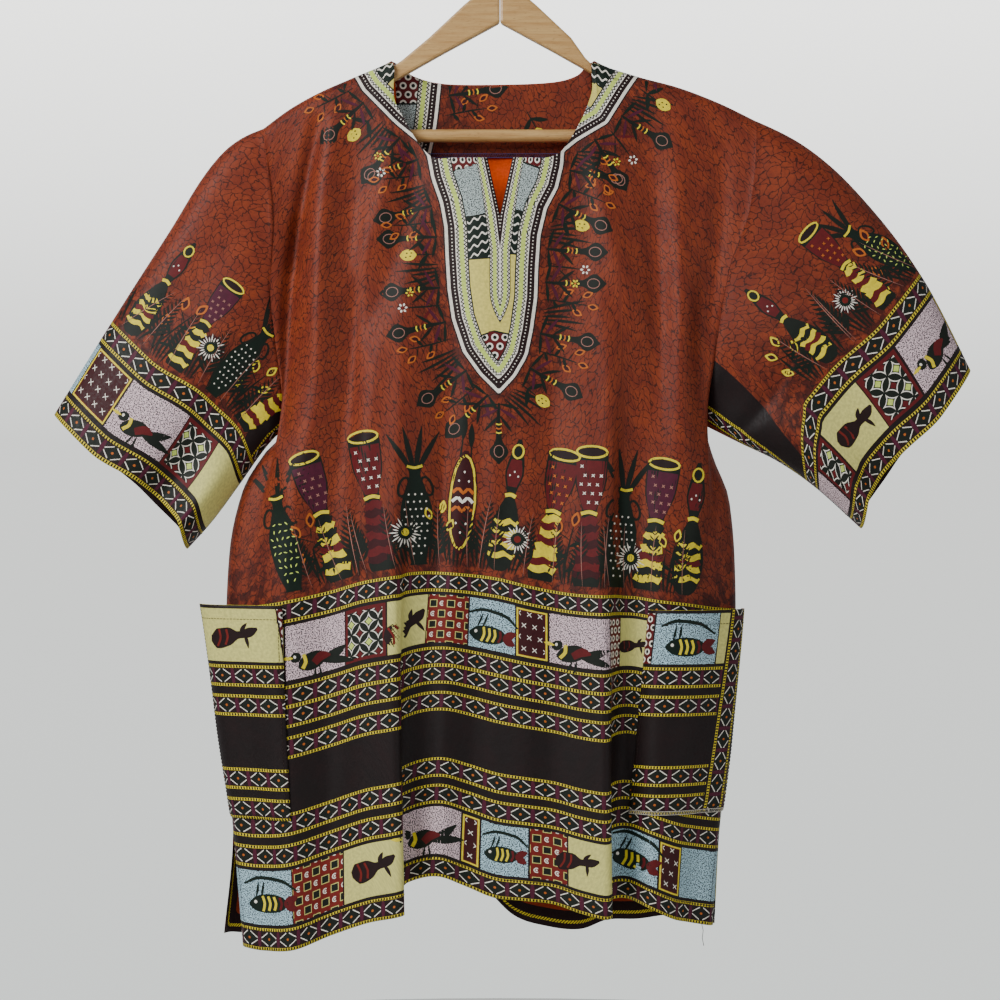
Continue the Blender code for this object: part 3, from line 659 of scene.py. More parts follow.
def sleeve_ring(edge, sections, along):
    """Ring of a sleeve a share `along` of the way to the cuff: low edge, front, top, back."""
    row = across([section[1:] for section in sections], [along * (len(sections) - 1)])[0]
    top_x, top_drop, low_x, low_drop, front_out, back_out, bow, curl = row
    down = (1 - np.cos(np.pi * np.linspace(0, 1, SLEEVE_SIDE + 1))) / 2
    share = np.concatenate([down[::-1], down[1:]])
    front = np.arange(len(share)) <= SLEEVE_SIDE
    x = top_x + (low_x - top_x) * share
    drop = top_drop + (low_drop - top_drop) * share
    out = np.where(front, front_out, back_out) * (4 * share * (1 - share)) ** 0.375

    width = math.hypot(low_x - top_x, low_drop - top_drop)
    bow_here = np.where(front, bow, 0.4 * bow) * smooth(*zip(*BOW_SHAPE), share)
    x = x - np.sign(top_x) * bow_here * (low_drop - top_drop) / width
    drop = drop - bow_here * abs(low_x - top_x) / width
    dent = np.exp(-((share - 0.70) / 0.10) ** 2) - 0.6 * np.exp(-((share - 0.90) / 0.07) ** 2)
    out = out - np.where(front, curl, 0.3 * curl) * dent

    bottom = next(row for row in edge if row.name == "underarm").drop
    seam_drop = edge[0].drop + (bottom - edge[0].drop) * share
    edge_x, front_edge = edge_at(edge, seam_drop, "front")
    back_edge = edge_at(edge, seam_drop, "back")[1]
    seam_out = np.where(front, front_edge, back_edge) * ridge_share(seam_drop - edge[0].drop)
    seam_out[SLEEVE_SIDE] = 0
    near = (1 - min(along * 2.5, 1.0)) ** 2
    x = x * (1 - near) + (edge_x + np.sign(top_x) * 0.2) * near
    drop = drop * (1 - near) + seam_drop * near
    out = out * (1 - near) + seam_out * near
    tuck = max(0.0, 1 - along * 40)     # the first ring lies under the panels' edges
    x = x - np.sign(top_x) * 2.2 * tuck
    out = np.maximum(out - 0.9 * tuck, 0)
    return np.stack([x, drop, np.where(front, out, -out)], axis=1)


SLEEVE_BAND_MIDDLE = 11.0   # the diamond band's middle line, from the low seam
# The right sleeve's dark strip: place of its top and of its lower rope, as a value at the
# cuff and its change per millimetre towards the shoulder, both from the band's middle line.
RIGHT_STRIP_TOP = (10.8, -0.35)
RIGHT_STRIP_ROPE = (35.3, -0.256)

# Soft rings and drags of a sleeve: place round (0 low, 0.5 top, 1 low again) and along, size.
SleeveCrease = namedtuple("SleeveCrease", "round0 along0 round1 along1 width depth")
SLEEVE_CREASES = (
    SleeveCrease(0.12, 0.10, 0.16, 0.55, 0.035, -3.0),
    SleeveCrease(0.20, 0.05, 0.26, 0.62, 0.04, 2.5),
    SleeveCrease(0.30, 0.04, 0.36, 0.80, 0.04, -2.5),
    SleeveCrease(0.41, 0.10, 0.43, 0.70, 0.04, 2.0),
    SleeveCrease(0.05, 0.22, 0.20, 0.42, 0.03, -2.5),
    SleeveCrease(0.58, 0.08, 0.62, 0.75, 0.045, -2.5),
    SleeveCrease(0.72, 0.05, 0.70, 0.60, 0.045, 2.5),
    SleeveCrease(0.84, 0.12, 0.80, 0.85, 0.04, -2.5),
    SleeveCrease(0.93, 0.20, 0.82, 0.45, 0.03, -2.0),
)


def build_sleeve(name, edge, sections, side, thickness, crease_scale, tiles, wobble):
    """A sleeve as a tube of cloth, sewn along its low edge, open at the armhole and the cuff."""
    shares = np.linspace(0, 1, SLEEVE_RINGS)
    points = np.array([sleeve_ring(edge, sections, share) for share in shares])
    world = np.stack([points[..., 0], -points[..., 2], -points[..., 1]], axis=-1)
    normal = outward(world, True)
    rounds = np.linspace(0, 1, points.shape[1])[None, :]
    alongs = shares[:, None]
    for row in SLEEVE_CREASES:
        t = np.clip((alongs - row.along0) / (row.along1 - row.along0), 0, 1)
        line = row.round0 + (row.round1 - row.round0) * t + 0.01 * np.sin(9 * alongs + wobble)
        fade = np.sin(np.pi * np.clip(t, 0, 1)) ** 0.8
        bump = row.depth * crease_scale * fade * np.exp(-((rounds - line) / row.width) ** 2)
        ends = np.clip(np.minimum(rounds, 1 - rounds) / 0.04, 0, 1)
        world = world + normal * (bump * ends * (1 + 0.3 * math.sin(wobble)))[..., None]
    close = np.clip((rounds - 0.94) / 0.06, 0, 1)[..., None] ** 2
    world = world + (world[:, :1] - world[:, -1:]) * close      # the low edge is sewn up
    around = arc_lengths(world, 1)
    around = around[-1:, SLEEVE_SIDE:SLEEVE_SIDE + 1] - np.broadcast_to(around[-1:], around.shape)
    lengthwise = arc_lengths(world, 0)
    from_cuff = lengthwise[-1:] - lengthwise
    from_seam = around.max() - around
    if side > 0:
        # This sleeve's low edge is turned under, so its border looks narrower there.
        from_cuff = from_cuff * (1 + 0.5 * np.clip(1 - rounds / 0.16, 0, 1) ** 0.8)
        strip_top = RIGHT_STRIP_TOP[0] + RIGHT_STRIP_TOP[1] * from_cuff
        rope = RIGHT_STRIP_ROPE[0] + RIGHT_STRIP_ROPE[1] * from_cuff
        past = rope - (SLEEVE_BAND_MIDDLE - from_seam)
        band = -9 - np.where(past > 0, past * 26 / np.maximum(rope - strip_top, 8), past)
    else:
        band = np.maximum(SLEEVE_BAND_MIDDLE - from_seam, -40)
    band = np.where(rounds < 0.5, band, -FAR)
    places = {"border": (around, CUFF_BORDER - from_cuff), "cloth": (around + 700 * side, from_cuff),
              "collar": blank(around, FAR, -FAR), "slit": blank(around),
              "band": (from_cuff, band), "hem": (from_cuff, np.zeros_like(around))}
    return cloth_piece(name, world.reshape(-1, 3) * MM, sheet_faces(world), flatten(places), tiles,
                       side < 0, thickness), world


def at_drops(line, drops):
    """Points of a column at other drops."""
    return np.stack([smooth(line[:, 1], values, drops) for values in line.T], axis=1)


def build_pocket(pocket, thickness, tiles, band_side):
    """Patch pocket on the front, closed at its sides and foot, gaping at the mouth."""
    rows = (96, 96, 144)
    columns = panel_columns(FRONT_FOLDS, "front", rows)
    drops = np.linspace(pocket.top_drop, pocket.low_drop, POCKET_DOWN + 1)
    level = np.array([at_drops(line, drops) for line in columns])
    foot = pocket.foot_column - pocket.mouth_column
    inner = pocket.mouth_column + foot * (drops - drops[0]) / (drops[-1] - drops[0])
    patch = []
    for share in np.linspace(0, 1, POCKET_ACROSS + 1):
        place = pocket.outer_column + (inner - pocket.outer_column) * share
        patch.append([across(level[:, row], [at])[0] for row, at in enumerate(place)])
    patch = np.array(patch)
    world = to_world(patch, -1) / MM
    normal = outward(world)
    across_share = np.linspace(0, 1, POCKET_ACROSS + 1)[:, None]
    down_share = np.linspace(0, 1, POCKET_DOWN + 1)[None, :]
    mouth = (1 - down_share) ** 1.6
    gape = pocket.gape * mouth * np.sin(math.pi * np.clip(across_share, 0.06, 0.98)) ** 0.6
    sewn = np.minimum(np.minimum(across_share, 1 - across_share) * 12, (1 - down_share) * 16)
    puff = 1.2 * np.clip(sewn, 0, 1) ** 0.5
    world = world + normal * (POCKET_LIFT + puff + gape)[..., None]
    world[..., 0] += pocket.outer_swing * mouth * (1 - across_share) ** 1.5
    if pocket.outer_column > pocket.mouth_column:
        world = world[::-1]
    around = arc_lengths(world, 0)
    down = np.broadcast_to(down_share, around.shape)
    band = around - (around[-1:] - POCKET_BAND) if band_side else np.full(around.shape, FAR)
    places = {"border": (around + 40, POCKET_MOUTH - POCKET_PRINT * down), "hem": blank(around),
              "cloth": (around + 1500 + 300 * band_side, arc_lengths(world, 1)),
              "collar": blank(around, FAR, -FAR), "slit": blank(around),
              "band": (POCKET_PRINT * down - FAR * ROPE_PERIOD, band)}
    return cloth_piece(pocket.name + "_cloth", world.reshape(-1, 3) * MM, sheet_faces(world),
                       flatten(places), tiles, True, thickness), world


def build_facing(thickness):
    """Back neck facing, a strip inside the back panel, rolled at its lower edge."""
    columns = panel_columns(BACK_FOLDS, "back", (96, 96, 96))
    names = [row.name for row in BACK_FOLDS]
    places_at = np.linspace(names.index("neck point left") + 2.12,
                            names.index("neck point right") + 1.88, 90)
    full = over_ridge(across(columns, places_at))
    share = np.linspace(0, 1, 41)
    strip = []
    for line in full:
        strip.append(at_drops(line, line[0, 1] + 0.4 + (FACING_LOW_DROP - 6.4 - line[0, 1]) * share))
    points = np.array(strip)
    points[..., 2] -= 1.1 + 0.5 * FACING_ROLL * share ** 4
    world = to_world(points, 1) / MM
    x, drop = points[..., 0], points[..., 1]
    outline = smooth([150, 166, 208, 245], [-53, -55, -60, -68], drop)
    places = {"border": blank(x, 0, -200), "cloth": (arc_lengths(world, 0) + 2300, drop),
              "collar": (226 + 176 - drop, outline - x), "slit": (np.abs(x) + 60, drop),
              "band": blank(x), "hem": blank(x)}
    return cloth_piece("neck_facing_cloth", world.reshape(-1, 3) * MM, sheet_faces(world),
                       flatten(places), (), True, thickness), world

# ---- materials -----------------------------------------------------------------------------

COLOUR = {"data_type": "RGBA"}
NUMBER = {"data_type": "FLOAT"}
FLAT = {"noise_dimensions": "2D"}

# Short names of a Math node's operations.
SUMS = {"<": "LESS_THAN", ">": "GREATER_THAN", "+": "ADD", "-": "SUBTRACT", "*": "MULTIPLY",
        "/": "DIVIDE", "*+": "MULTIPLY_ADD", "abs": "ABSOLUTE", "min": "MINIMUM", "max": "MAXIMUM",
        "floor": "FLOOR", "wrap": "FLOORED_MODULO", "near": "COMPARE", "sin": "SINE", "power": "POWER"}


def linear(hex_colour):
    """sRGB hex colour to linear red, green, blue and alpha."""
    parts = [int(hex_colour[i:i + 2], 16) / 255 for i in (1, 3, 5)]
    return (*[c / 12.92 if c <= 0.04045 else ((c + 0.055) / 1.055) ** 2.4 for c in parts], 1.0)


def add_node(tree, kind, *inputs, **settings):
    """Add a node; `kind` is one of SUMS, or may carry its operation after a colon. Inputs fill
    the sockets in use, in order, as links, hex colours or values. Gives the first output in use."""
    kind, _, operation = kind.partition(":")
    if kind in SUMS:
        kind, operation = "Math", SUMS[kind]
    node = tree.nodes.new("ShaderNode" + kind)
    if operation:
        node.operation = operation
    for name, value in settings.items():
        setattr(node, name, value)
    for socket, value in zip([s for s in node.inputs if s.enabled], inputs):
        if isinstance(value, bpy.types.NodeSocket):
            tree.links.new(value, socket)
        elif value is not None:
            socket.default_value = linear(value) if isinstance(value, str) else value
    return next(s for s in node.outputs if s.enabled)


def new_material(name, roughness, **settings):
    """An empty principled material, a call that adds nodes to it, and its shader."""
    made = bpy.data.materials.new(name)
    made.use_nodes = True
    shader = made.node_tree.nodes["Principled BSDF"]
    shader.inputs["Roughness"].default_value = roughness
    for title, value in settings.items():
        shader.inputs[title.replace("_", " ")].default_value = value
    return made, partial(add_node, made.node_tree), shader


def object_place(add):
    """Place on an object, for its own noises."""
    return add("TexCoord").node.outputs["Object"]


def feed(shader, **outputs):
    """Link outputs to the shader's sockets by name."""
    for title, output in outputs.items():
        shader.id_data.links.new(output, shader.inputs[title.replace("_", " ")])


def uneven(add, colour, noise, low, high):
    """A colour whose tone wanders between two levels with a noise."""
    value = add("MapRange", noise, 0.3, 0.7, low, high)
    return add("HueSaturation", 0.5, 1.0, value, 1.0, colour)


def printed(add, base, *layers):
    """Lay colours over a base, each where its share is 1."""
    for share, colour in layers:
        base = add("Mix", share, base, colour, **COLOUR)
    return base


def between(add, value, low, high):
    """1 where value lies between low and high."""
    return add("*", add(">", value, low), add("<", value, high))


def all_of(add, *shares):
    """1 where all the shares are 1."""
    result = shares[0]
    for share in shares[1:]:
        result = add("*", result, share)
    return result


def repeat(add, value, period, shift=0.0):
    """Place inside a repeat, from minus half a period to plus half."""
    turned = add("+", value, period / 2 - shift)
    wrapped = add("wrap", turned, period)
    return add("-", wrapped, period / 2)


def places_of(add, name):
    """The three numbers of a named place of the cloth, in millimetres."""
    vector = add("Attribute", attribute_name=name).node.outputs["Vector"]
    return add("SeparateXYZ", vector).node.outputs


def distance(add, x, y):
    """Length of (x, y)."""
    return add("VectorMath:LENGTH", add("CombineXYZ", x, y))


def zigzag_line(add, along, across_line, middle, period, swing, half):
    """1 on a zigzag line that runs along a band."""
    tooth = add("abs", repeat(add, along, period))
    line = add("*+", tooth, swing * 4 / period, middle - swing)
    off = add("-", across_line, line)
    return add("near", off, 0.0, half)


def diamond_row(add, ink, along, off):
    """Row of open diamonds between two ropes; off is the distance from its middle line."""
    side = add("abs", repeat(add, along, DIAMOND_PERIOD))
    reach = add("+", add("/", side, 10.6), add("/", off, DIAMOND_HALF))
    stroke = all_of(add, add("near", reach, 1.0, 0.075), between(add, side, 1.6, 8.9))
    bar = add(">", add("*+", off, -0.12, side), 9.1)
    from_rope = add("abs", add("-", off, DIAMOND_HALF + ROPE_WIDE / 2))
    link = add("abs", repeat(add, along, ROPE_PERIOD))
    knot = all_of(add, add("<", link, 0.8), add("<", from_rope, 1.15))
    return printed(
        add, ink["earth"],
        (add("<", reach, 1.0), ink["night"]),
        (bar, ink["plum"]), (stroke, ink["chalk"]),
        (add("<", distance(add, side, off), 1.2), ink["ember"]),
        (add(">", off, DIAMOND_HALF), ink["block"]),
        (add("<", from_rope, 1.35), ink["yellow"]),
        (knot, ink["block"]))


def speckle(add, cloth, base, speck):
    """Ground of one colour with fine dark specks about a millimetre apart."""
    grain = add("TexNoise", cloth, 0.95, 0.0, 0.0, **FLAT)
    return printed(add, base, (add(">", grain, 0.575), speck))


def ring_lattice(add, ink, x, y, width):
    """Interlocking thin white rings on near-black, inside a maroon frame."""
    pitch, radius = 20.0, 10.5
    cx = add("abs", repeat(add, x, pitch, 8.0))
    cy = add("abs", repeat(add, y, pitch, 15.0))
    past_x = add("-", pitch / 2, cx)
    past_y = add("-", pitch / 2, cy)
    shares = [add("near", distance(add, a, b), radius, 0.45) for a, b in ((cx, cy), (past_x, past_y))]
    lines = add("max", shares[0], shares[1])
    middle = add("<", add("+", cx, cy), 3.4)
    corner = add("<", add("+", past_x, past_y), 3.4)
    rim = rim_of(add, x, y, width)
    return printed(add, ink["night"], (corner, ink["maroon"]), (lines, ink["chalk"]),
                   (middle, ink["lime"]), (add("<", rim, 3.6), ink["maroon"]))


def rim_of(add, x, y, width):
    """Distance to a tile's nearest edge."""
    left = add("min", x, add("-", width, x))
    top = add("min", y, add("-", 51.5, y))
    return add("min", left, top)


def square_grid(add, ink, x, y):
    """Chequer of framed dark squares and small white hooks on brick red."""
    wide, high = 9.4, 11.0
    cx, cy = repeat(add, x, wide, 6.4), repeat(add, y, high, 9.2)
    column = add("floor", add("/", add("-", x, 1.7), wide))
    row = add("floor", add("/", add("-", y, 3.7), high))
    odd = add("wrap", add("+", column, row), 2.0)
    box = add("max", add("abs", cx), add("abs", cy))
    hook = all_of(add, odd, add("near", distance(add, cx, cy), 2.2, 0.5), add("<", cx, 1.3))
    dot = all_of(add, odd, add("<", distance(add, cx, cy), 0.9))
    even = add("-", 1.0, odd)
    return printed(add, ink["rust"],
                   (all_of(add, even, add("<", box, 4.0)), ink["cream"]),
                   (all_of(add, even, add("<", box, 3.3)), ink["night"]),
                   (hook, ink["chalk"]), (dot, ink["chalk"]))


def small_flowers(add, ink, x, y, width):
    """Small white crosses on dark maroon, inside a yellow line."""
    wide, high = 10.5, 12.0
    row = add("floor", add("/", y, high))
    shifted = add("*+", row, wide / 2, x)
    cx = add("abs", repeat(add, shifted, wide, 3.0))
    cy = add("abs", repeat(add, y, high, 6.0))
    arms = all_of(add, add("near", cx, cy, 0.55), add("<", cx, 2.1))
    rim = rim_of(add, x, y, width)
    return printed(add, ink["wine"], (arms, ink["chalk"]),
                   (add("<", rim, 3.4), ink["maroon"]),
                   (add("<", rim, 2.6), ink["yellow"]),
                   (add("<", rim, 0.9), ink["earth"]))


def white_wheels(add, ink, x, y):
    """Maroon with staggered white wheels that have black hubs."""
    row = add("floor", add("/", y, 8.2))
    shifted = add("*+", row, 4.7, x)
    away = distance(add, repeat(add, shifted, 9.4), repeat(add, y, 8.2, 4.1))
    return printed(add, ink["maroon"],
                   (add("<", away, 3.3), ink["chalk"]),
                   (add("<", away, 1.7), ink["night"]))


def wavy_lines(add, ink, x, y):
    """White wavy strokes across near-black green."""
    swell = add("*", add("sin", add("*", x, 0.85)), 1.5)
    line = add("+", add("*+", x, -0.45, y), swell)
    stroke = add("<", add("abs", repeat(add, line, 8.2)), 0.9)
    return printed(add, ink["pine"], (stroke, ink["chalk"]))


def shared_noise(add, cloth):
    """Fine and broad unevenness of the cloth and its dye, used all over a material."""
    fine = add("TexNoise", cloth, 0.35, 1.0, 0.6, **FLAT)
    broad = add("TexNoise", cloth, 0.04, 3.0, 0.6, **FLAT)
    return fine, broad


def veined_ground(add, ink, cloth, fine, broad, w, depth):
    """Brick ground drawn all over with small leaf outlines, darker near the borders."""
    bent = cloth
    for noise, swing in ((broad, (14.0, 14.0, 0.0)), (fine, (2.0, 2.0, 0.0))):
        bent = add("VectorMath:MULTIPLY_ADD", noise.node.outputs["Color"], swing, bent)
    leaf = add("VectorMath:MULTIPLY", bent, (1.0, 0.62, 1.0))
    # Leaves are 4.9 mm wide and 8 mm long, and the lines round them 0.5 mm.
    outline = add("TexVoronoi", leaf, 1 / 4.9, voronoi_dimensions="2D", feature="DISTANCE_TO_EDGE")
    lines = add("MapRange", outline, 0.025, 0.085, 1.0, 0.0)
    warm = add("MapRange", broad, 0.38, 0.62, 0.15, 0.8)
    base = add("Mix", warm, ink["brick"], ink["brick_light"], **COLOUR)
    # The cloth is drawn darker in a ring round the collar and above the border.
    halo = add("MapRange", depth, -50.0, -18.0, 0.0, 0.8)
    foot = add("MapRange", w, -100.0, -14.0, 0.0, 1.0)
    mottle = add("TexNoise", cloth, 0.09, 2.0, 0.6, **FLAT)
    dark = add("*", add("max", halo, foot), add("MapRange", mottle, 0.42, 0.58, 0.0, 0.85))
    return printed(add, base, (dark, ink["shade"]), (add("*", lines, 0.85), ink["vein"]))


def lime_band(add, ink, along, across_band):
    """Band of white edges, black zigzags and a lime middle, 11.5 mm wide."""
    teeth = [zigzag_line(add, along, across_band, middle, 3.6, 1.15, 0.8) for middle in (2.3, 9.2)]
    return printed(add, ink["chalk"],
                   (between(add, across_band, 3.6, 7.9), ink["lime"]),
                   (teeth[0], ink["night"]), (teeth[1], ink["night"]),
                   (add(">", across_band, 10.6), ink["night"]))


def collar_print(add, ink, cloth, ground):
    """The collar's nested bands and panels, over the ground."""
    along, depth, _ = places_of(add, "collar")
    slit, drop, _ = places_of(add, "slit")
    # Below the slit the inner bands close up to its line, and end in a point.
    closing = add("MapRange", drop, SLIT_TIP_DROP, 325.0, 0.0, 4.0)
    point = add("power", add("MapRange", drop, 362.0, 393.0, 0.0, 1.0), 2.0)
    inner = add("+", add("+", slit, closing), add("*", point, 9.8))
    within = all_of(add, add("<", inner, 13.6), add(">", depth, 20.0), add("<", drop, 394.0))
    across_band = add("Mix", within, add("-", depth, 9.4), add("*", add("-", inner, 4.0), 1.2), **NUMBER)
    run = add("Mix", within, along, drop, **NUMBER)
    bands = lime_band(add, ink, run, across_band)
    spot = all_of(add, add("<", add("abs", repeat(add, run, 3.2)), 0.55),
                  add("near", across_band, -3.0, 0.55))
    bands = printed(add, bands, (add("<", across_band, 0.0), ink["earth"]), (spot, ink["chalk"]))

    waves, grey = wavy_lines(add, ink, slit, drop), speckle(add, cloth, ink["grey"], ink["night"])
    wheels = panels = white_wheels(add, ink, slit, drop)
    boundary = 0.0
    for start, colour in ((60.0, ink["khaki"]), (137.0, waves), (173.0, grey), (217.0, wheels),
                          (246.0, grey), (282.0, ink["khaki"]), (312.0, waves)):
        panels = printed(add, panels, (add(">", along, start), colour))
        boundary = add("max", boundary, add("near", along, start, 0.8))
    panels = printed(add, panels, (boundary, ink["night"]))
    shown = add("*", add(">", depth, 21.2), add("-", 1.0, within))
    collar = printed(add, bands, (shown, panels), (add("<", depth, 2.9), ink["chalk"]))
    return printed(add, ground, (add(">", depth, -1.3), ink["earth"]), (add(">", depth, 0.0), collar))


def border_print(add, ink, cloth, broad, ground):
    """The border's rows of diamonds, tiles and plain block, over the ground."""
    u, w, _ = places_of(add, "border")
    tile_x, kind, width = places_of(add, "tile")
    run, band, _ = places_of(add, "band")
    off = add("abs", add("-", w, DIAMOND_ROWS[0]))
    for middle in DIAMOND_ROWS[1:]:
        other = add("abs", add("-", w, middle))
        off = add("min", off, other)
    band_off = add("abs", band)
    row_half = DIAMOND_HALF + ROPE_WIDE
    # A side band lies over a pocket's border, but a sleeve's only where no border is.
    free = add("<", add("min", run, w), 0.0)
    on_band = all_of(add, free, add("<", band_off, row_half + 2.0))
    off = add("Mix", on_band, off, band_off, **NUMBER)
    along = add("Mix", on_band, u, run, **NUMBER)
    diamonds = diamond_row(add, ink, along, off)

    low_row = add(">", w, 164.0)
    tile_y = add("-", w, add("*+", low_row, TILE_ROWS[1][0] - TILE_ROWS[0][0], TILE_ROWS[0][0]))
    tiles = ink["cream"]
    for number, colour in ((PINK, speckle(add, cloth, ink["pink"], ink["speck"])),
                           (BLUE, speckle(add, cloth, ink["blue"], ink["speck"])),
                           (RINGS, ring_lattice(add, ink, tile_x, tile_y, width)),
                           (GRID, square_grid(add, ink, tile_x, tile_y)),
                           (FLOWERS, small_flowers(add, ink, tile_x, tile_y, width)),
                           (STRIP, white_wheels(add, ink, tile_x, tile_y))):
        tiles = printed(add, tiles, (add("near", kind, float(number), 0.4), colour))
    seam = add("min", tile_x, add("-", width, tile_x))
    tiles = printed(add, tiles, (add("<", seam, 0.55), ink["earth"]))
    on_tile = all_of(add, between(add, tile_y, 0.0, 51.0), add(">", kind, 0.5), add("-", 1.0, on_band))
    block = add("Mix", add("MapRange", broad, 0.4, 0.7, 0.0, 0.5), ink["block"], ink["earth"], **COLOUR)
    rows = printed(add, block, (on_tile, tiles), (add("<", off, row_half), diamonds))
    strip = between(add, band, -35.0, 0.0)
    on_border = add("max", add("max", on_band, strip), add(">", w, 0.0))
    return printed(add, ground, (on_border, rows))


def weave(add, cloth):
    """Plain weave. Its threads are 0.35 mm, drawn 1 mm apart so that they show."""
    along = add("TexWave", cloth, 0.31, 0.0, 0.0, bands_direction="X")
    down = add("TexWave", cloth, 0.31, 0.0, 0.0, bands_direction="Y")
    crinkle = add("TexNoise", cloth, 0.14, 2.0, 0.6, **FLAT)
    height = add("*+", crinkle, 5.0, add("max", along, down))
    return add("Bump", 0.25, 0.0002, None, height)


def printed_cotton(part, ink):
    """Cotton, plain woven and wax printed, calendered: saturated dyes and a soft sheen.
    `part` is the part of the print that a material draws: ground, border or collar."""
    made, add, shader = new_material("cotton, wax printed, " + part, 0.6, IOR=1.5,
                                     Specular_IOR_Level=0.25, Sheen_Weight=0.02)
    cloth = add("Attribute", attribute_name="cloth").node.outputs["Vector"]
    fine, broad = shared_noise(add, cloth)
    _, w, _ = places_of(add, "border")
    _, depth, _ = places_of(add, "collar")
    colour = veined_ground(add, ink, cloth, fine, broad, w, depth)
    if part == "border":
        colour = border_print(add, ink, cloth, broad, colour)
    elif part == "collar":
        colour = collar_print(add, ink, cloth, colour)
    # Dye lies unevenly over the threads, so the tone wanders by a few per cent.
    feed(shader, Base_Color=uneven(add, colour, fine, 0.88, 1.10),
         Roughness=add("MapRange", fine, 0.3, 0.7, 0.50, 0.64), Normal=weave(add, cloth))
    return made


def cotton_reverse(ink):
    """The unprinted side of the same cotton: plain orange dye, matt."""
    made, add, shader = new_material("cotton reverse, vat dyed", 0.75, IOR=1.5, Specular_IOR_Level=0.2)
    cloth = add("Attribute", attribute_name="cloth").node.outputs["Vector"]
    fine, broad = shared_noise(add, cloth)
    u, w, _ = places_of(add, "border")
    turned, _, _ = places_of(add, "hem")
    through = add("*", add(">", w, 0.0), 0.72)
    pale = add("MapRange", broad, 0.35, 0.7, 0.0, 0.35)
    # The turned hem shows the face of the print: a dark strip with one yellow rope.
    link = add("abs", repeat(add, add("+", u, w), ROPE_PERIOD))
    allowance = add("<", turned, HEM_DEPTH)
    rope = all_of(add, add("near", turned, 7.0, 1.5), add(">", link, 0.6))
    colour = printed(add, ink["orange"], (pale, ink["orange_deep"]), (through, ink["earth_light"]),
                     (allowance, ink["earth"]), (rope, ink["yellow"]))
    feed(shader, Base_Color=uneven(add, colour, fine, 0.92, 1.06), Normal=weave(add, cloth))
    return made


def dyed_cotton(name, ink):
    """One dye of the printed motifs, soaked a little unevenly into the cotton."""
    made, add, shader = new_material("cotton dye, " + name, 0.6, IOR=1.5, Specular_IOR_Level=0.25)
    place = object_place(add)
    # The dye's tone wanders over about 4 mm.
    tone = add("TexNoise", place, 240.0, 2.0, 0.6)
    feed(shader, Base_Color=uneven(add, ink, tone, 0.84, 1.12))
    return made


def spun_thread(name, ink):
    """Polyester sewing thread, spun in two plies and dyed: a slight gloss, and plies twisted every
    0.6 mm, with the grooves between them painted in as fine dark slants of shade."""
    made, add, shader = new_material("spun polyester thread, " + name, 0.5, IOR=1.54,
                                     Specular_IOR_Level=0.35)
    place = object_place(add)
    # Painted shade: the grooves between the two plies darken the thread's colour in fine slants.
    ply_groove_shade = add("TexWave", place, 800.0, 1.0, 1.0, bands_direction="DIAGONAL")
    value = add("MapRange", ply_groove_shade, 0.0, 1.0, 0.72, 1.1)
    feed(shader, Base_Color=add("HueSaturation", 0.5, 1.0, value, 1.0, ink))
    return made


def lacquered_wood(name, along, pale, dark):
    """Beech, planed and sanded under a clear satin lacquer: warm tan, fine long grain with
    short brown flecks, and a soft highlight from the coat."""
    made, add, shader = new_material("beech, lacquered, " + name, 0.45, IOR=1.5,
                                     Coat_Weight=0.35, Coat_Roughness=0.3)
    place = object_place(add)
    # Grain lines are 1.5 mm apart and run for 40 mm; the flecks are 0.6 by 5 mm.
    turned = add("VectorRotate", place, None, None, along, rotation_type="Y_AXIS")
    grain_place = add("VectorMath:MULTIPLY", turned, (25.0, 420.0, 420.0))
    grain = add("TexNoise", grain_place, 1.0, 3.0, 0.6)
    fleck_place = add("VectorMath:MULTIPLY", turned, (190.0, 1500.0, 1500.0))
    fleck = add("TexNoise", fleck_place, 1.0, 1.0, 0.5)
    tone = add("MapRange", grain, 0.32, 0.68, 0.0, 1.0)
    spot = add("MapRange", fleck, 0.62, 0.70, 0.0, 0.45)
    colour = printed(add, pale, (tone, dark), (spot, "#7A5326"))
    feed(shader, Base_Color=colour, Roughness=add("MapRange", grain, 0.3, 0.7, 0.38, 0.52),
         Normal=add("Bump", 0.3, 0.0001, None, grain))
    return made


def plated_wire(colour):
    """Steel wire, drawn, bent cold and zinc plated: a grey metal with faint lengthwise
    drawing lines, duller where it has rubbed on rails."""
    made, add, shader = new_material("steel wire, zinc plated", 0.3, Metallic=1.0)
    place = object_place(add)
    wear = add("TexNoise", place, 90.0, 3.0, 0.6)
    fine = add("TexNoise", place, 900.0, 1.0, 0.5)
    feed(shader, Base_Color=uneven(add, colour, wear, 0.86, 1.08),
         Roughness=add("MapRange", wear, 0.35, 0.65, 0.22, 0.42),
         Normal=add("Bump", 0.15, 0.00005, None, fine))
    return made


def studio_paper(name, ink):
    """Studio paper, rolled out matt: an even pale tone that wanders very slightly."""
    made, add, shader = new_material("studio paper, " + name, 0.9)
    place = object_place(add)
    tone = add("TexNoise", place, 1.2, 2.0, 0.5)
    feed(shader, Base_Color=uneven(add, ink, tone, 0.97, 1.02))
    return made


# ---- printed motifs ------------------------------------------------------------------------

# A motif is a list of strokes in its own millimetres, x to its right and y up from its foot.
# A stroke has an ink, the points of its middle line, and its half width at each point.
Stroke = namedtuple("Stroke", "ink line half")
STROKE_STEP = 2.6       # longest step along a stroke and across it
STROKE_LIFT = 0.10      # first stroke's height over the cloth, and each later one's rise
STROKE_RISE = 0.018


def heading(x, y, turn, ahead, aside=0.0):
    """Points ahead and aside of (x, y), where ahead is `turn` degrees to the right of up."""
    a = math.radians(turn)
    return np.stack([x + math.sin(a) * ahead + math.cos(a) * aside,
                     y + math.cos(a) * ahead - math.sin(a) * aside], axis=-1)


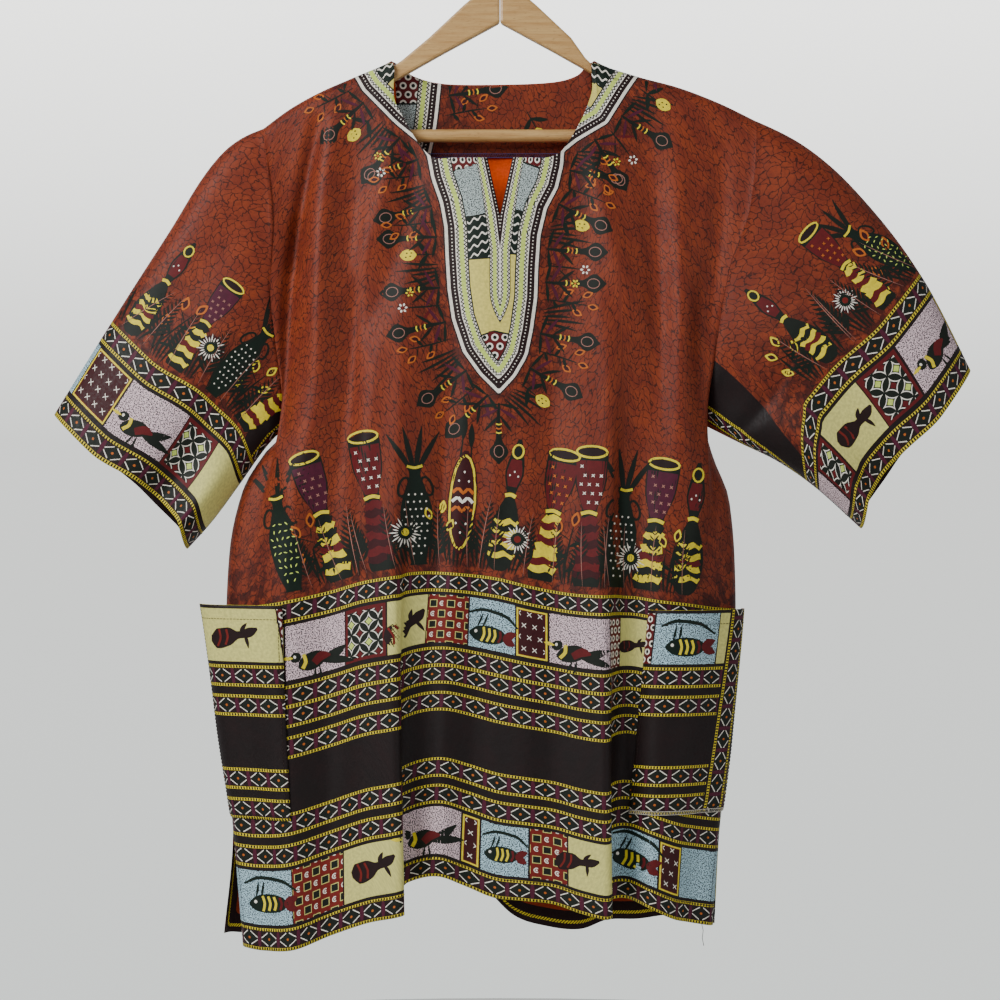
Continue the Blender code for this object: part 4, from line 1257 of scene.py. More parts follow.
def rounded(ink, line, half):
    """A stroke with smooth curves through a few points."""
    at, fine = np.linspace(0, 1, len(line)), np.linspace(0, 1, 4 * len(line) + 1)
    place = np.stack([smooth(at, values, fine) for values in zip(*line)], axis=1)
    return Stroke(ink, place, np.maximum(smooth(at, np.broadcast_to(half, len(line)), fine), 0.05))


def upright(ink, h, *shares_and_halves):
    """A stroke straight up: each share of the height h, and the half width there."""
    return rounded(ink, [(0, share * h) for share in shares_and_halves[::2]], shares_and_halves[1::2])


def oval(ink, x, y, long, wide, turn=0.0):
    """A filled oval with its long axis turned from straight up, in degrees."""
    t = np.linspace(-1, 1, 9)
    return Stroke(ink, heading(x, y, turn, long * t), wide * np.sqrt(np.clip(1 - t * t, 0.02, 1)))


def ring(ink, x, y, long, wide, half, turn=0.0):
    """An oval outline."""
    t = np.linspace(0, 2 * math.pi, 17)
    return Stroke(ink, heading(x, y, turn, long * np.cos(t), wide * np.sin(t)), np.full(17, half))


def blade(ink, x, y, length, turn, bend=0.0, half=1.3):
    """A leaf that tapers at both ends and bends to its right."""
    t = np.linspace(0, 1, 9)
    return Stroke(ink, heading(x, y, turn, length * t, bend * t * t),
                  half * np.sin(np.pi * (0.06 + 0.9 * t)))


def bud(ink, x, y, size, turn):
    """A pointed bud with a dark heart."""
    return [blade(ink, x, y, size, turn, 0, 0.3 * size),
            blade("wine", *heading(x, y, turn, 0.16 * size), 0.62 * size, turn, 0, 0.17 * size)]


def daisy(petal, heart, x, y, size):
    """Six dots round a seventh."""
    dots = [oval(petal, *heading(x, y, turn, size), 0.42 * size, 0.3 * size, turn)
            for turn in range(0, 360, 60)]
    return [*dots, oval(heart, x, y, 0.35 * size, 0.35 * size)]


def sunburst(size, heart):
    """Fine white rays round a dark disc with a coloured heart."""
    rays = [blade("chalk", *heading(0, 0, 360 * k / 22, 0.42 * size), (0.58 if k % 2 else 0.36) * size,
                  360 * k / 22, half=0.55) for k in range(22)]
    ground, disc, middle = [oval(ink, 0, 0, share * size, share * size)
                            for ink, share in (("wine", 0.9), ("pine", 0.46), (heart, 0.24))]
    return [ground, *rays, disc, middle]


def sprig(length, ink):
    """A bending stem with buds on both sides."""
    made = [blade("night", 0, 0, length, 0, 3, 0.8)]
    for side, share in ((-1, 0.30), (1, 0.52), (-1, 0.72)):
        x, y = 3 * share ** 2, length * share
        made += [blade("night", x, y, 0.22 * length, side * 55, side * 1.5, 0.5),
                 *bud(ink, *heading(x, y, side * 55, 0.2 * length), 0.24 * length, side * 25),
                 blade("pine", x, y - 0.1 * length, 0.2 * length, -side * 60, 0, 1.5)]
    return made + bud(ink, 3, length * 0.96, 0.24 * length, 8)


def wavy_bands(low, high, foot_half, top_half, inks, wave=1.2):
    """Stripes across a shape that narrows upwards, each a wavy line."""
    t, made = np.linspace(-1, 1, 9), []
    for k, ink in enumerate(inks):
        share = (k + 0.5) / len(inks)
        half, y = foot_half + (top_half - foot_half) * share, low + (high - low) * share
        line = np.stack([half * t, y + wave * np.sin(4 * t + k)], axis=1)
        made.append(rounded(ink, line, 0.54 * (high - low) / len(inks)))
    return made


def drum(h, cloth_ink, stripes, marks):
    """A goblet drum: dark head, patterned bowl and a striped foot that flares."""
    made = [upright("night", h, 0, 9.5, 0.05, 11, 0.4, 6.5, 0.52, 6, 0.72, 12.5, 0.9, 13.5, 0.94, 12.5),
            upright(cloth_ink, h, 0.53, 5, 0.6, 8, 0.74, 11.6, 0.87, 12.4),
            oval("earth", 0, 0.93 * h, 0.035 * h, 12.5), ring("yellow", 0, 0.93 * h, 0.04 * h, 12.6, 0.9),
            *wavy_bands(0.06 * h, 0.48 * h, 10.8, 6.4, stripes)]
    for k in range(13):
        x, y = (k % 3 - 1) * 6.5 + (1.8 if k // 3 % 2 else -1), (0.58 + 0.062 * (k // 3)) * h
        if abs(x) < 5 + 30 * (y / h - 0.53):
            made += [blade(marks, x - 1.3 * side, y - 1.2, 3.6, 45 * side, 0, 0.55) for side in (1, -1)]
    return made + [rounded("yellow", ((-6.5, 0.5 * h), (0, 0.515 * h), (6.5, 0.5 * h)), 1.5)]


def vase(h, marks, dashes):
    """A tall two-handled vase covered with rows of small marks, with leaves in it."""
    made = [blade("night", 0, 0.62 * h, 0.36 * h, turn, turn * 0.1, 2.3) for turn in (-28, -10, 9, 27)]
    made.append(upright("pine", h, 0, 7, 0.03, 6, 0.12, 8.5, 0.36, 13, 0.56, 7, 0.64, 4.2, 0.7, 7.5))
    made += [ring("night", 9.5 * side, 0.55 * h, 0.07 * h, 4, 1, -20 * side) for side in (1, -1)]
    for k in range(9):
        y = (0.08 + 0.052 * k) * h
        half = float(smooth([0.03, 0.12, 0.36, 0.56], [4.5, 7, 11.5, 5.5], y / h))
        count = max(2, int(half / 2.1))
        for i in range(count):
            x = half * ((i + 0.5) / count * 2 - 1) + (0.6 if k % 2 else -0.6)
            dash = (1.5, 0.5, (k * 53 + i * 37) % 180) if dashes else (0.85, 0.75, 0)
            made.append(oval(marks, x, y, *dash))
    return made + [rounded("yellow", ((-6.3, 0.695 * h), (0, 0.682 * h), (6.3, 0.695 * h)), 1.1)]


STRIPES = ("yellow", "night", "yellow", "maroon", "yellow", "night", "yellow", "night")
RED_STRIPES = ("yellow", "maroon", "yellow", "yellow", "maroon", "yellow", "maroon", "yellow")
DESIGNS = {
    "flower drum": drum(118, "maroon", ("wine", "maroon") * 4, "chalk"),
    "striped drum": drum(112, "plum", STRIPES, "rib"),
    "red drum": drum(112, "maroon", RED_STRIPES, "ember"),
    "dotted vase": vase(116, "chalk", False), "dashed vase": vase(112, "lime", True),
    "sun": sunburst(13, "yellow"), "red sun": sunburst(12, "rust"),
    "buds": sprig(50, "ember"), "gold buds": sprig(44, "yellow"), "sprig": sprig(42, "ember"),
    # A double gourd, its neck bound in yellow and its belly striped.
    "calabash": [
        upright("night", 112, 0, 4, 0.04, 9, 0.25, 13, 0.47, 7, 0.56, 3.6, 0.72, 7.6, 0.86, 5.2, 0.97, 1.4),
        upright("maroon", 112, 0.62, 3.6, 0.72, 6.2, 0.82, 4.2),
        *wavy_bands(11.2, 47.04, 11, 9, STRIPES, 1.6),
        rounded("yellow", ((-4.4, 61.6), (0, 62.944), (4.4, 61.6)), 1.6),
        ring("yellow", 0, 98.56, 5.6, 4.4, 0.8), oval("chalk", -3.4, 78.4, 0.9, 0.7),
        oval("chalk", 0, 81.76, 0.9, 0.7), oval("chalk", 3.4, 78.4, 0.9, 0.7)],
    # A long oval shield in front of two spears.
    "shield": [
        blade("night", -9, 0, 124, 3, 0, 1), blade("night", 9, 0, 116.56, -3, 0, 1),
        blade("night", -3.5, 102.92, 19.84, 3, 0, 2.6), blade("night", 3.8, 96.72, 19.84, -3, 0, 2.6),
        oval("wine", 0, 52.08, 42.16, 12), ring("yellow", 0, 52.08, 38.44, 10.2, 0.9),
        *[rounded(ink, ((-8.5, y), (-4, y + 3.72), (0, y), (4, y + 3.72), (8.5, y)), 1.3)
          for ink, y in (("ember", 44.64), ("chalk", 52.08), ("ember", 59.52))],
        *[oval("chalk", x, y, 1, 0.8) for x, y in
          ((-4, 69.44), (4, 69.44), (0, 76.88), (-4, 34.72), (4, 34.72), (0, 27.28))]],
    # A frond with dark leaflets along a pale rib.
    "fern": [
        *[blade("night", 4 * share ** 2, 58 * share, 17.4 * (1.15 - share), side * 48, -side,
                1.7 * (1.2 - share)) for share in 0.2 + 0.085 * np.arange(9) for side in (-1, 1)],
        blade("rib", 0, 0, 59.16, 0, 4, 0.32)],
    # A long-tailed bird with a banded breast.
    "bird": [
        blade("night", 0, -9, 22, 78, -3, 3.4), blade("night", 0, -9, 24, 92, 4, 3),
        oval("night", -6, -7, 11, 6.2, 76), oval("night", -17, -2, 4.2, 3.6, 60),
        blade("yellow", -19, -2, 8, -80, 0, 1.3), oval("chalk", -17.6, -1.4, 1.2, 1),
        rounded("yellow", ((-14, -11), (-10.5, -6), (-11, -1)), 1.3),
        rounded("maroon", ((-5, -9), (2, -5), (8, -6)), (2.6, 3.2, 0.6)),
        blade("night", -5, -12, 10, 190, 2, 0.8), blade("night", -2, -12, 10, 175, 2, 0.8)],
    # A striped fish under a bending reed.
    "fish": [
        rounded("pine", ((-20, 9), (-8, 13), (8, 11), (20, 3)), (0.7, 1.3, 1.3, 0.6)),
        oval("pine", -2, -6, 15, 7, 90), blade("maroon", 10, -6, 11, 60, 1, 3.2),
        blade("maroon", 10, -6, 11, 120, -1, 3.2), oval("chalk", -12, -4.6, 1.3, 1.2),
        *[rounded(ink, ((x, -6 - half), (x + 1.4, -6), (x, -6 + half)), 0.95) for ink, x, half in (
            ("yellow", -6.5, 5.6), ("yellow", -2.1, 5.25), ("yellow", 2.3, 4.9), ("maroon", 6.7, 4.55))],
        blade("pine", -9, 10, 12, 186, 1.5, 0.9), blade("pine", -5, 10, 12, 186, 1.5, 0.9)],
    # A dark bottle gourd lying on its side.
    "gourd": [
        rounded("earth", ((-17, -3), (-12, -3), (-3, -1), (4, 0), (12, 2), (18, 5)),
                (2, 7.5, 6.6, 2.6, 3.6, 0.9)),
        rounded("rust", ((-12, -8.6), (-9.8, -2.4), (-11, 4)), 0.8),
        rounded("rust", ((-6, -7.4), (-4.4, -1.6), (-5.6, 4)), 0.8),
        blade("earth", 8, 1, 11, 152, 2, 1.4), blade("earth", 5, 1, 9, 20, 2, 1.6)],
    # A dark gourd on a handle, bound with yellow and orange.
    "rattle": [
        rounded("night", ((0, 0), (0.5, 16.8), (0, 33.6), (0, 44.8), (0, 56)), (0.9, 1.9, 2.8, 8.96, 0.5)),
        *[rounded(ink, ((-2.6, y), (0, y + 0.8), (2.6, y)), 0.65)
          for y, ink in ((19.04, "yellow"), (22.96, "ember"), (26.88, "yellow"))],
        ring("rib", 0, 44.24, 5.6, 4.48, 0.35),
        *[blade(ink, side, y, 17.92, side * turn, 1, 1.5) for side in (-1, 1)
          for ink, y, turn in (("plum", 5.6, 62), ("night", 12.32, 40), ("pine", 1.12, 80))]],
    # A dotted yellow pod between two green leaves.
    "seeds": [
        blade("night", 0, 0, 22.8, 0, 0, 0.7), blade("pine", 0, 9.5, 15.96, 52, 1, 2.2),
        blade("pine", 0, 9.5, 15.96, -52, -1, 2.2), oval("yellow", 0, 27.36, 7.6, 5.32),
        *[oval("night", x, y, 0.9, 0.6)
          for x, y in ((-1.9, 29.64), (1.9, 28.5), (-1.14, 25.46), (1.9, 24.32))]],
    # Dark stems with two daisies and a curl.
    "bouquet": [
        blade("night", 0, 0, 33.6, 0, 2, 0.9), blade("night", 0, 8.4, 25.2, 38, 2, 0.7),
        blade("maroon", 0, 8.4, 21, -42, -3, 1.2), *daisy("chalk", "rust", 2, 36.12, 3.2),
        *daisy("yellow", "ember", 15.12, 27.72, 2.8)],
    "grass": [blade("night", 3 * k, 0, 26 + 7 * (k * 5 % 3), 6 * k - 12, 3) for k in range(-2, 3)],
}

ROW_FOOT = -4.0         # foot of the row of motifs over the border
ROW_SIZE = 1.12
SUN_LIFT = 34.0
# Rows of motifs on the border: design, place along the cloth, and its size where it isn't 1.
FRONT_ROW = (
    ("dashed vase", -232), ("buds", -208), ("striped drum", -186), ("fern", -166), ("flower drum", -140),
    ("sun", -114), ("dotted vase", -92), ("gold buds", -70), ("shield", -48), ("fern", -24),
    ("calabash", -4), ("red sun", 18), ("red drum", 40), ("buds", 62), ("flower drum", 86), ("fern", 106),
    ("dotted vase", 128), ("sun", 150), ("striped drum", 166), ("gold buds", 190), ("calabash", 206))
BACK_ROW = (
    ("calabash", -212), ("fern", -190), ("flower drum", -166), ("buds", -142), ("dotted vase", -118),
    ("red sun", -92), ("striped drum", -68), ("fern", -44), ("shield", -20), ("gold buds", 6),
    ("red drum", 30), ("sun", 56), ("dashed vase", 82), ("buds", 106), ("flower drum", 130), ("fern", 154),
    ("dotted vase", 178), ("gold buds", 200))
LEFT_SLEEVE_ROW = (
    ("fern", 14, 0.9), ("calabash", 40, 0.85), ("buds", 66), ("striped drum", 92, 0.8), ("sun", 112, 0.9),
    ("dotted vase", 134, 0.85), ("gold buds", 158), ("red drum", 184, 0.8), ("fern", -24),
    ("dotted vase", -52, 0.9), ("buds", -78), ("flower drum", -106, 0.9), ("fern", -136),
    ("calabash", -166, 0.8))
RIGHT_SLEEVE_ROW = (
    ("dashed vase", 10, 0.85), ("buds", 36), ("red drum", 60, 0.85), ("red sun", 84, 0.9), ("fern", 100),
    ("calabash", 122, 0.85), ("gold buds", 146), ("fern", -18), ("striped drum", -46, 0.9), ("buds", -74),
    ("dotted vase", -102, 0.9), ("red sun", -128, 0.9), ("flower drum", -156, 0.8))
HALO = ("rattle", "sprig", "rattle", "seeds", "grass", "rattle", "bouquet", "rattle", "sprig", "grass")
HALO_STEP = 15.5
HALO_GAP = 7.0
# Motifs by their x, drop and turn.
TIP_MOTIFS = (("rattle", -1, 466, 180),)
FACING_MOTIFS = (("rattle", -48, 177, 82), ("sprig", -52, 196, 76), ("seeds", 24, 190, 150))
TILE_MOTIFS = {CREAM: "gourd", PINK: "bird", BLUE: "fish"}
HIDDEN_STEP = 5.0       # a fold that lies this far over a place hides it
TILE_STEP = 2.0         # and this far over a place of a tile
STEEP = 0.62            # a tile whose cloth faces the side more than this has no motif
TORN = 3.2              # a stroke's face that spans more depth than this lies over a fold's edge


def halo_places(outline, outward, start, first):
    """Motifs that point away from a collar's outline, along all of it."""
    outline = np.array(outline, float)
    run, places = run_along(outline), []
    for k, at in enumerate(np.arange(start, run[-1] - 4, HALO_STEP)):
        near, far = at_length(at - 9, run, outline), at_length(at + 9, run, outline)
        step = (far - near) / np.hypot(*(far - near))
        out = outward * np.array([-step[1], step[0]])
        x, drop = (near + far) / 2 + out * HALO_GAP
        turn = math.degrees(math.atan2(out[0], -out[1]))
        places.append((HALO[(first + k) % len(HALO)], x, drop, turn))
    return places


class Print:
    """Motifs pressed on the outer face of one piece of cloth, gathered as one thin layer."""

    def __init__(self, piece):
        mesh = piece.data
        self.surface = BVHTree.FromPolygons([v.co.copy() for v in mesh.vertices],
                                            [tuple(p.vertices) for p in mesh.polygons])
        self.places, self.border = np.zeros((2, len(mesh.vertices) * 3))
        mesh.vertices.foreach_get("co", self.places)
        mesh.attributes["border"].data.foreach_get("vector", self.border)
        self.places, self.border = self.places.reshape(-1, 3) / MM, self.border.reshape(-1, 3)
        self.points, self.faces, self.inks = [], [], []

    def touch(self, side, x, drop):
        """Where a line straight in from the front (-1) or the back (1) meets the cloth."""
        start = Vector((x * MM, side * 0.3, -drop * MM))
        return self.surface.ray_cast(start, Vector((0, -side, 0)))[:2]

    def press(self, design, side, x, drop, turn, scale=1.0):
        """Lay a motif's strokes on the cloth."""
        a = math.radians(turn)
        for order, (ink, line, half) in enumerate(DESIGNS[design]):
            line, half = line * scale, half * scale
            run = run_along(line)
            steps = max(2, math.ceil(run[-1] / STROKE_STEP) + 1, 7 if run[-1] > 1.5 else 3)
            at = np.linspace(0, run[-1], steps)
            middle, wide = at_length(at, run, line), np.interp(at, run, half)
            ahead = np.gradient(middle, axis=0)
            ahead /= np.maximum(np.hypot(ahead[:, :1], ahead[:, 1:]), 1e-9)
            aside = np.stack([ahead[:, 1], -ahead[:, 0]], axis=1) * wide[:, None]
            count = max(1, math.ceil(2 * wide.max() / STROKE_STEP))
            shares = (2 * np.arange(count + 1) / count - 1)[:, None]
            lift = (STROKE_LIFT + STROKE_RISE * min(order, 30)) * MM
            rows = []
            for centre, out in zip(middle, aside):
                rows.append([])
                for px, py in centre + out * shares:
                    hit, normal = self.touch(side, x + px * math.cos(a) + py * math.sin(a),
                                             drop + px * math.sin(a) - py * math.cos(a))
                    rows[-1].append(None if hit is None else len(self.points))
                    if hit is not None:
                        self.points.append(hit + normal * math.copysign(lift, normal.y * side))
            for k in range(steps - 1):
                for i in range(count):
                    corners = rows[k][i], rows[k + 1][i], rows[k + 1][i + 1], rows[k][i + 1]
                    if None in corners or np.ptp([self.points[c].y for c in corners]) > TORN * MM:
                        continue
                    self.faces.append(corners if side < 0 else corners[::-1])
                    self.inks.append(ink)

    def place(self, u, w):
        """Where a place of the border's print is: the point, its lean and its side."""
        near, far = [self.places[np.argmin((self.border[:, 0] - u - d) ** 2 + (self.border[:, 1] - w) ** 2)]
                     for d in (-6, 6)]
        middle, run = (near + far) / 2, far - near
        return middle, -math.degrees(math.atan2(run[2], run[0])), -1 if middle[1] < 0 else 1

    def hidden(self, place, side, step=HIDDEN_STEP, steep=0.0):
        """True where a fold lies over a place, or the cloth turns away too far."""
        hit, normal = self.touch(side, place[0], -place[2])
        return hit is None or abs(hit.y / MM - place[1]) > step or abs(normal.y) < steep

    def stand(self, design, u, w, turn=0.0, size=1.0):
        """Press a motif at a place of the border's print, unless a fold hides that place."""
        place, lean, side = self.place(u, w)
        if abs(lean) > 90:
            lean -= math.copysign(180, lean)
        if not self.hidden(place, side):
            self.press(design, side, place[0], -place[2], lean + turn, size)

    def press_row(self, row):
        """A row of motifs that stand on the border in dark grass, with suns a little above it."""
        ends = [u for _, u, *_ in row]
        for k, u in enumerate(np.arange(min(ends), max(ends), 15.0)):
            self.stand(("grass", "fern")[k % 2], u, ROW_FOOT, 8 - 16 * (k % 2))
        for design, u, *size in row:
            foot = ROW_FOOT - SUN_LIFT * ("sun" in design)
            self.stand(design, u, foot, 0.0, math.prod(size, start=ROW_SIZE))

    def press_tiles(self, tiles):
        """A motif in the middle of each plain or speckled tile, or beside it where a fold is."""
        for tile in tiles:
            width = tile.end - tile.start
            if tile.kind not in TILE_MOTIFS or width <= 30:
                continue
            w, size = sum(TILE_ROWS[tile.row]) / 2, min(1.25, width / 42)
            for shift in (0, -14, 14):
                middle = (tile.start + tile.end) / 2 + shift
                spots = [self.place(middle + d * size, w + e) for d in (-14, 0, 14) for e in (-12, 0, 12)]
                if not any(self.hidden(place, side, TILE_STEP, STEEP) for place, _, side in spots):
                    self.stand(TILE_MOTIFS[tile.kind], middle, w, 0.0, size)
                    break

    def press_all(self, designs, side):
        """Press a table of motifs by their x, drop and turn."""
        for design, *where in designs:
            self.press(design, side, *where)

    def layer(self, name, materials):
        """The pressed strokes as one piece."""
        mesh = bpy.data.meshes.new(name)
        mesh.from_pydata([tuple(p) for p in self.points], [], self.faces)
        names = sorted(set(self.inks))
        for ink in names:
            mesh.materials.append(materials[ink])
        mesh.polygons.foreach_set("material_index", [names.index(ink) for ink in self.inks])
        mesh.shade_smooth()
        return ridden(name, mesh)


# ---- sewing thread -------------------------------------------------------------------------

STITCH_PITCH = 3.4      # from one stitch to the next
STITCH_LENGTH = 2.5
THREAD_RADIUS = 0.28    # a sewing thread, drawn a little thicker so that it shows


def thread_tube(made, path, aside, radius):
    """Sweep a four-sided thread along a path; `aside` is a direction across it."""
    points, faces = made
    path, first = np.asarray(path, float), len(points)
    ahead = np.gradient(path, axis=0)
    ahead /= np.maximum(np.linalg.norm(ahead, axis=1, keepdims=True), 1e-9)
    across_it = np.cross(ahead, aside)
    across_it /= np.maximum(np.linalg.norm(across_it, axis=1, keepdims=True), 1e-9)
    up = np.cross(across_it, ahead)
    for centre, side, over in zip(path, across_it, up):
        points += [tuple(centre + radius * (side * a + over * b))
                   for a, b in ((1, 0), (0, 1), (-1, 0), (0, -1))]
    for k in range(len(path) - 1):
        for i in range(4):
            a, b = first + 4 * k + i, first + 4 * k + (i + 1) % 4
            faces.append((a, b, b + 4, a + 4))
    last = first + 4 * (len(path) - 1)
    faces += [(first + 3, first + 2, first + 1, first), (last, last + 1, last + 2, last + 3)]


def edge_path(world, normal, axis, depth, from_end):
    """Path over a grid, an arc length `depth` in from one of its edges, with its normals."""
    if axis == 0:
        world, normal = world.transpose(1, 0, 2), normal.transpose(1, 0, 2)
    if from_end:
        world, normal = world[:, ::-1], normal[:, ::-1]
    path, facing = [], []
    for line, turned in zip(world, normal):
        run = run_along(line)
        path.append(at_length(depth, run, line))
        facing.append(at_length(depth, run, turned))
    return np.array(path), np.array(facing)


def stitches(made, path, facing, start=0.0, spare=0.0):
    """Lockstitches along a path: each comes up, lies on the cloth and goes down again."""
    run = run_along(path)
    for at in np.arange(start + 1.0, run[-1] - spare - STITCH_LENGTH, STITCH_PITCH):
        places = at + STITCH_LENGTH * np.array([0.0, 0.25, 0.75, 1.0])
        line, out = at_length(places, run, path), at_length(places, run, facing)
        rise = np.array([-0.15, 0.22, 0.22, -0.15])[:, None]
        thread_tube(made, line + out * rise, out, THREAD_RADIUS)


def overlock(made, path, facing, reach, pitch):
    """Thread looped over a raw edge: a close zigzag that spans `reach` across the edge."""
    run = run_along(path)
    places = np.arange(0, run[-1], pitch / 2)
    line, out = at_length(places, run, path), at_length(places, run, facing)
    sideways = np.cross(out, np.gradient(line, axis=0))
    sideways /= np.maximum(np.linalg.norm(sideways, axis=1, keepdims=True), 1e-9)
    swing = np.where(np.arange(len(places)) % 2, 0.5, -0.5)[:, None] * reach
    thread_tube(made, line + sideways * swing + out * 0.3, out, THREAD_RADIUS)
    for edge in (-0.5, 0.5):
        thread_tube(made, line + sideways * edge * reach + out * 0.35, out, THREAD_RADIUS)


def thread_piece(name, made, material):
    """Threads as one piece."""
    points, faces = made
    mesh = bpy.data.meshes.new(name)
    mesh.from_pydata([tuple(c * MM for c in p) for p in points], [], faces)
    mesh.materials.append(material)
    mesh.shade_smooth()
    return ridden(name, mesh)


# ---- tiles of the border -------------------------------------------------------------------

# Outline of the collar's print on the back.
BACK_COLLAR = ((-135, 150), (-134, 163), (-122, 184), (-96, 208), (-62, 227), (-30, 237),
               (-3, 240), (24, 237), (56, 227), (90, 208), (116, 184), (128, 163), (128, 150))


def tile_row(row, start, *kinds_and_ends):
    """Tiles side by side on a row of the border, 0 upper or 1 lower: each one's kind and end."""
    ends = (start, *kinds_and_ends[1::2])
    return [Tile(row, *place) for place in zip(ends, ends[1:], kinds_and_ends[::2])]


# Tiles of each piece: the border's row, the first one's start, then kinds and ends.
FRONT_TILES = [
    *tile_row(0, -300, CREAM, -240, PINK, -183, RINGS, -137, CREAM, -77, GRID, -33, BLUE, 16,
              FLOWERS, 48, PINK, 112, STRIP, 138, CREAM, 170, BLUE, 222, GRID, 300),
    *tile_row(1, -320, BLUE, -241, GRID, -188, CREAM, -95, PINK, -31, FLOWERS, -14, BLUE, 31,
              GRID, 66, CREAM, 112, BLUE, 190, FLOWERS, 215, BLUE, 320)]
BACK_TILES = [
    *tile_row(0, -300, BLUE, -232, GRID, -186, CREAM, -118, RINGS, -70, PINK, -6, FLOWERS, 40,
              BLUE, 104, GRID, 148, CREAM, 212, PINK, 300),
    *tile_row(1, -300, PINK, -214, FLOWERS, -168, BLUE, -100, GRID, -54, CREAM, 14, PINK, 78,
              RINGS, 124, BLUE, 190, CREAM, 300)]
LEFT_SLEEVE_TILES = tile_row(0, -240, GRID, -196, PINK, -132, RINGS, -86, CREAM, -26, BLUE, 21,
                             FLOWERS, 69, PINK, 130, RINGS, 172, CREAM, 240)
RIGHT_SLEEVE_TILES = tile_row(0, -240, BLUE, -190, GRID, -144, CREAM, -80, BLUE, -32, FLOWERS, 16,
                              PINK, 79, RINGS, 120, CREAM, 180, RINGS, 208, PINK, 240)
LEFT_POCKET_TILES = tile_row(1, 40, CREAM, 133, STRIP, 200)
RIGHT_POCKET_TILES = tile_row(1, 30, STRIP, 50, BLUE, 115, CREAM, 200)

# Cut of a piece: width and length of its rectangle, and its own area, in metres. No piece is given one.
Cut = namedtuple("Cut", "width length area")


# ---- what a user would change --------------------------------------------------------------

# Dyes of the print: name, what it colours, sRGB colour.
DYES = (
    ("brick", "Ground of the print", "#6E2715"),
    ("brick_light", "Ground where the dye is thinner", "#873719"),
    ("vein", "Leaf outlines on the ground", "#230A06"),
    ("shade", "Darker ground near the collar and the border", "#3A100B"),
    ("earth", "Dark edges and blocks", "#1F0B0C"),
    ("earth_light", "Dark print seen through from the reverse", "#5C2212"),
    ("night", "Near-black green of the outlines", "#10170F"),
    ("block", "Plain band between the rows", "#150B0B"),
    ("plum", "Bars between the diamonds", "#4B1229"),
    ("maroon", "Frames and flowers", "#5C1013"),
    ("wine", "Ground of the flower tiles", "#36080D"),
    ("rust", "Ground of the chequered tiles", "#701A13"),
    ("chalk", "White lines", "#EDE7DA"),
    ("yellow", "Ropes and bindings", "#E0CB30"),
    ("lime", "Middle of the collar's band", "#C4D766"),
    ("cream", "Plain tiles", "#D0CB78"),
    ("khaki", "Plain parts of the collar", "#D6C968"),
    ("pink", "Speckled tiles", "#E3C9CF"),
    ("blue", "Speckled tiles", "#AFD0DC"),
    ("grey", "Speckled parts of the collar", "#B4C2C0"),
    ("speck", "Specks of the speckled tiles", "#17121A"),
    ("pine", "Dark green of leaves and vases", "#07190F"),
    ("ember", "Orange of the buds", "#B8601F"),
    ("orange", "Reverse of the cloth", "#E04C0C"),
    ("orange_deep", "Reverse where the dye is thicker", "#B8400E"),
    ("rib", "Pale ribs of the leaves", "#A06E62"),
)


def colour_property(title, says, hex_colour):
    """A colour that a user can pick."""
    return bpy.props.FloatVectorProperty(name=title, description=says, subtype="COLOR", size=4,
                                         min=0.0, max=1.0, default=linear(hex_colour))


def number_property(name, says, default, low, high, **looks):
    """A number that a user can change."""
    return bpy.props.FloatProperty(name=name, description=says, default=default, min=low, max=high,
                                   **looks)


class DyeColours(bpy.types.PropertyGroup):
    """Colours of the printed cotton."""
    __annotations__ = {name: colour_property(" ".join(name.split("_")[::-1]).capitalize(), says, colour)
                       for name, says, colour in DYES}


class ClothSettings(bpy.types.PropertyGroup):
    """Sizes of the cloth and its sewing."""
    thickness: number_property("Cloth thickness", "Thickness of the cotton", 0.6 * MM, 0.3 * MM,
                               1.2 * MM, unit="LENGTH", precision=5)
    crease_depth: number_property("Crease depth", "Depth of the creases, against their usual depth",
                                  1.0, 0.0, 1.5, subtype="FACTOR")
    thread: colour_property("Seam thread", "Thread of the hems and the pockets", "#2A1512")
    pale_thread: colour_property("Pale thread", "Overlock thread at a pocket's foot", "#D9D2C4")
    violet_thread: colour_property("Violet thread", "Overlock thread of the neck facing", "#5B5A9C")


class HangerSettings(bpy.types.PropertyGroup):
    """Sizes and colours of the hanger."""
    wood_pale: colour_property("Pale wood", "Early wood of the beech", "#CBA468")
    wood_dark: colour_property("Dark wood", "Late wood of the beech", "#B0844A")
    steel: colour_property("Steel", "Plated wire of the hook", "#B9B9B6")
    wire_radius: number_property("Wire radius", "Half the thickness of the hook's wire",
                                 WIRE_RADIUS * MM, 1.2 * MM, 2.2 * MM, unit="LENGTH", precision=5)


class StageSettings(bpy.types.PropertyGroup):
    """Floor, light and camera."""
    floor: colour_property("Floor", "Paper on the floor", "#DCDDDA")
    room: colour_property("Room", "Light of the pale room all round", "#979899")
    key_power: number_property("Key light", "Power of the soft light at the upper left",
                               58.0, 0.0, 200.0, unit="POWER")
    fill_power: number_property("Fill light", "Power of the soft light at the right",
                                9.0, 0.0, 100.0, unit="POWER")
    back_power: number_property("Back light", "Power of the soft light behind",
                                22.0, 0.0, 100.0, unit="POWER")
    distance: number_property("Camera distance", "Distance of the camera from the hanger",
                              2.625, 1.0, 6.0, unit="LENGTH")


class DashikiSettings(bpy.types.PropertyGroup):
    """Everything that a user can change."""
    dyes: bpy.props.PointerProperty(type=DyeColours)
    cloth: bpy.props.PointerProperty(type=ClothSettings)
    hanger: bpy.props.PointerProperty(type=HangerSettings)
    stage: bpy.props.PointerProperty(type=StageSettings)


# ---- making the pieces ---------------------------------------------------------------------


def once(name, make, *given):
    """A material that several pieces share, made the first time it is asked for."""
    return bpy.data.materials.get(name) or make(*given)


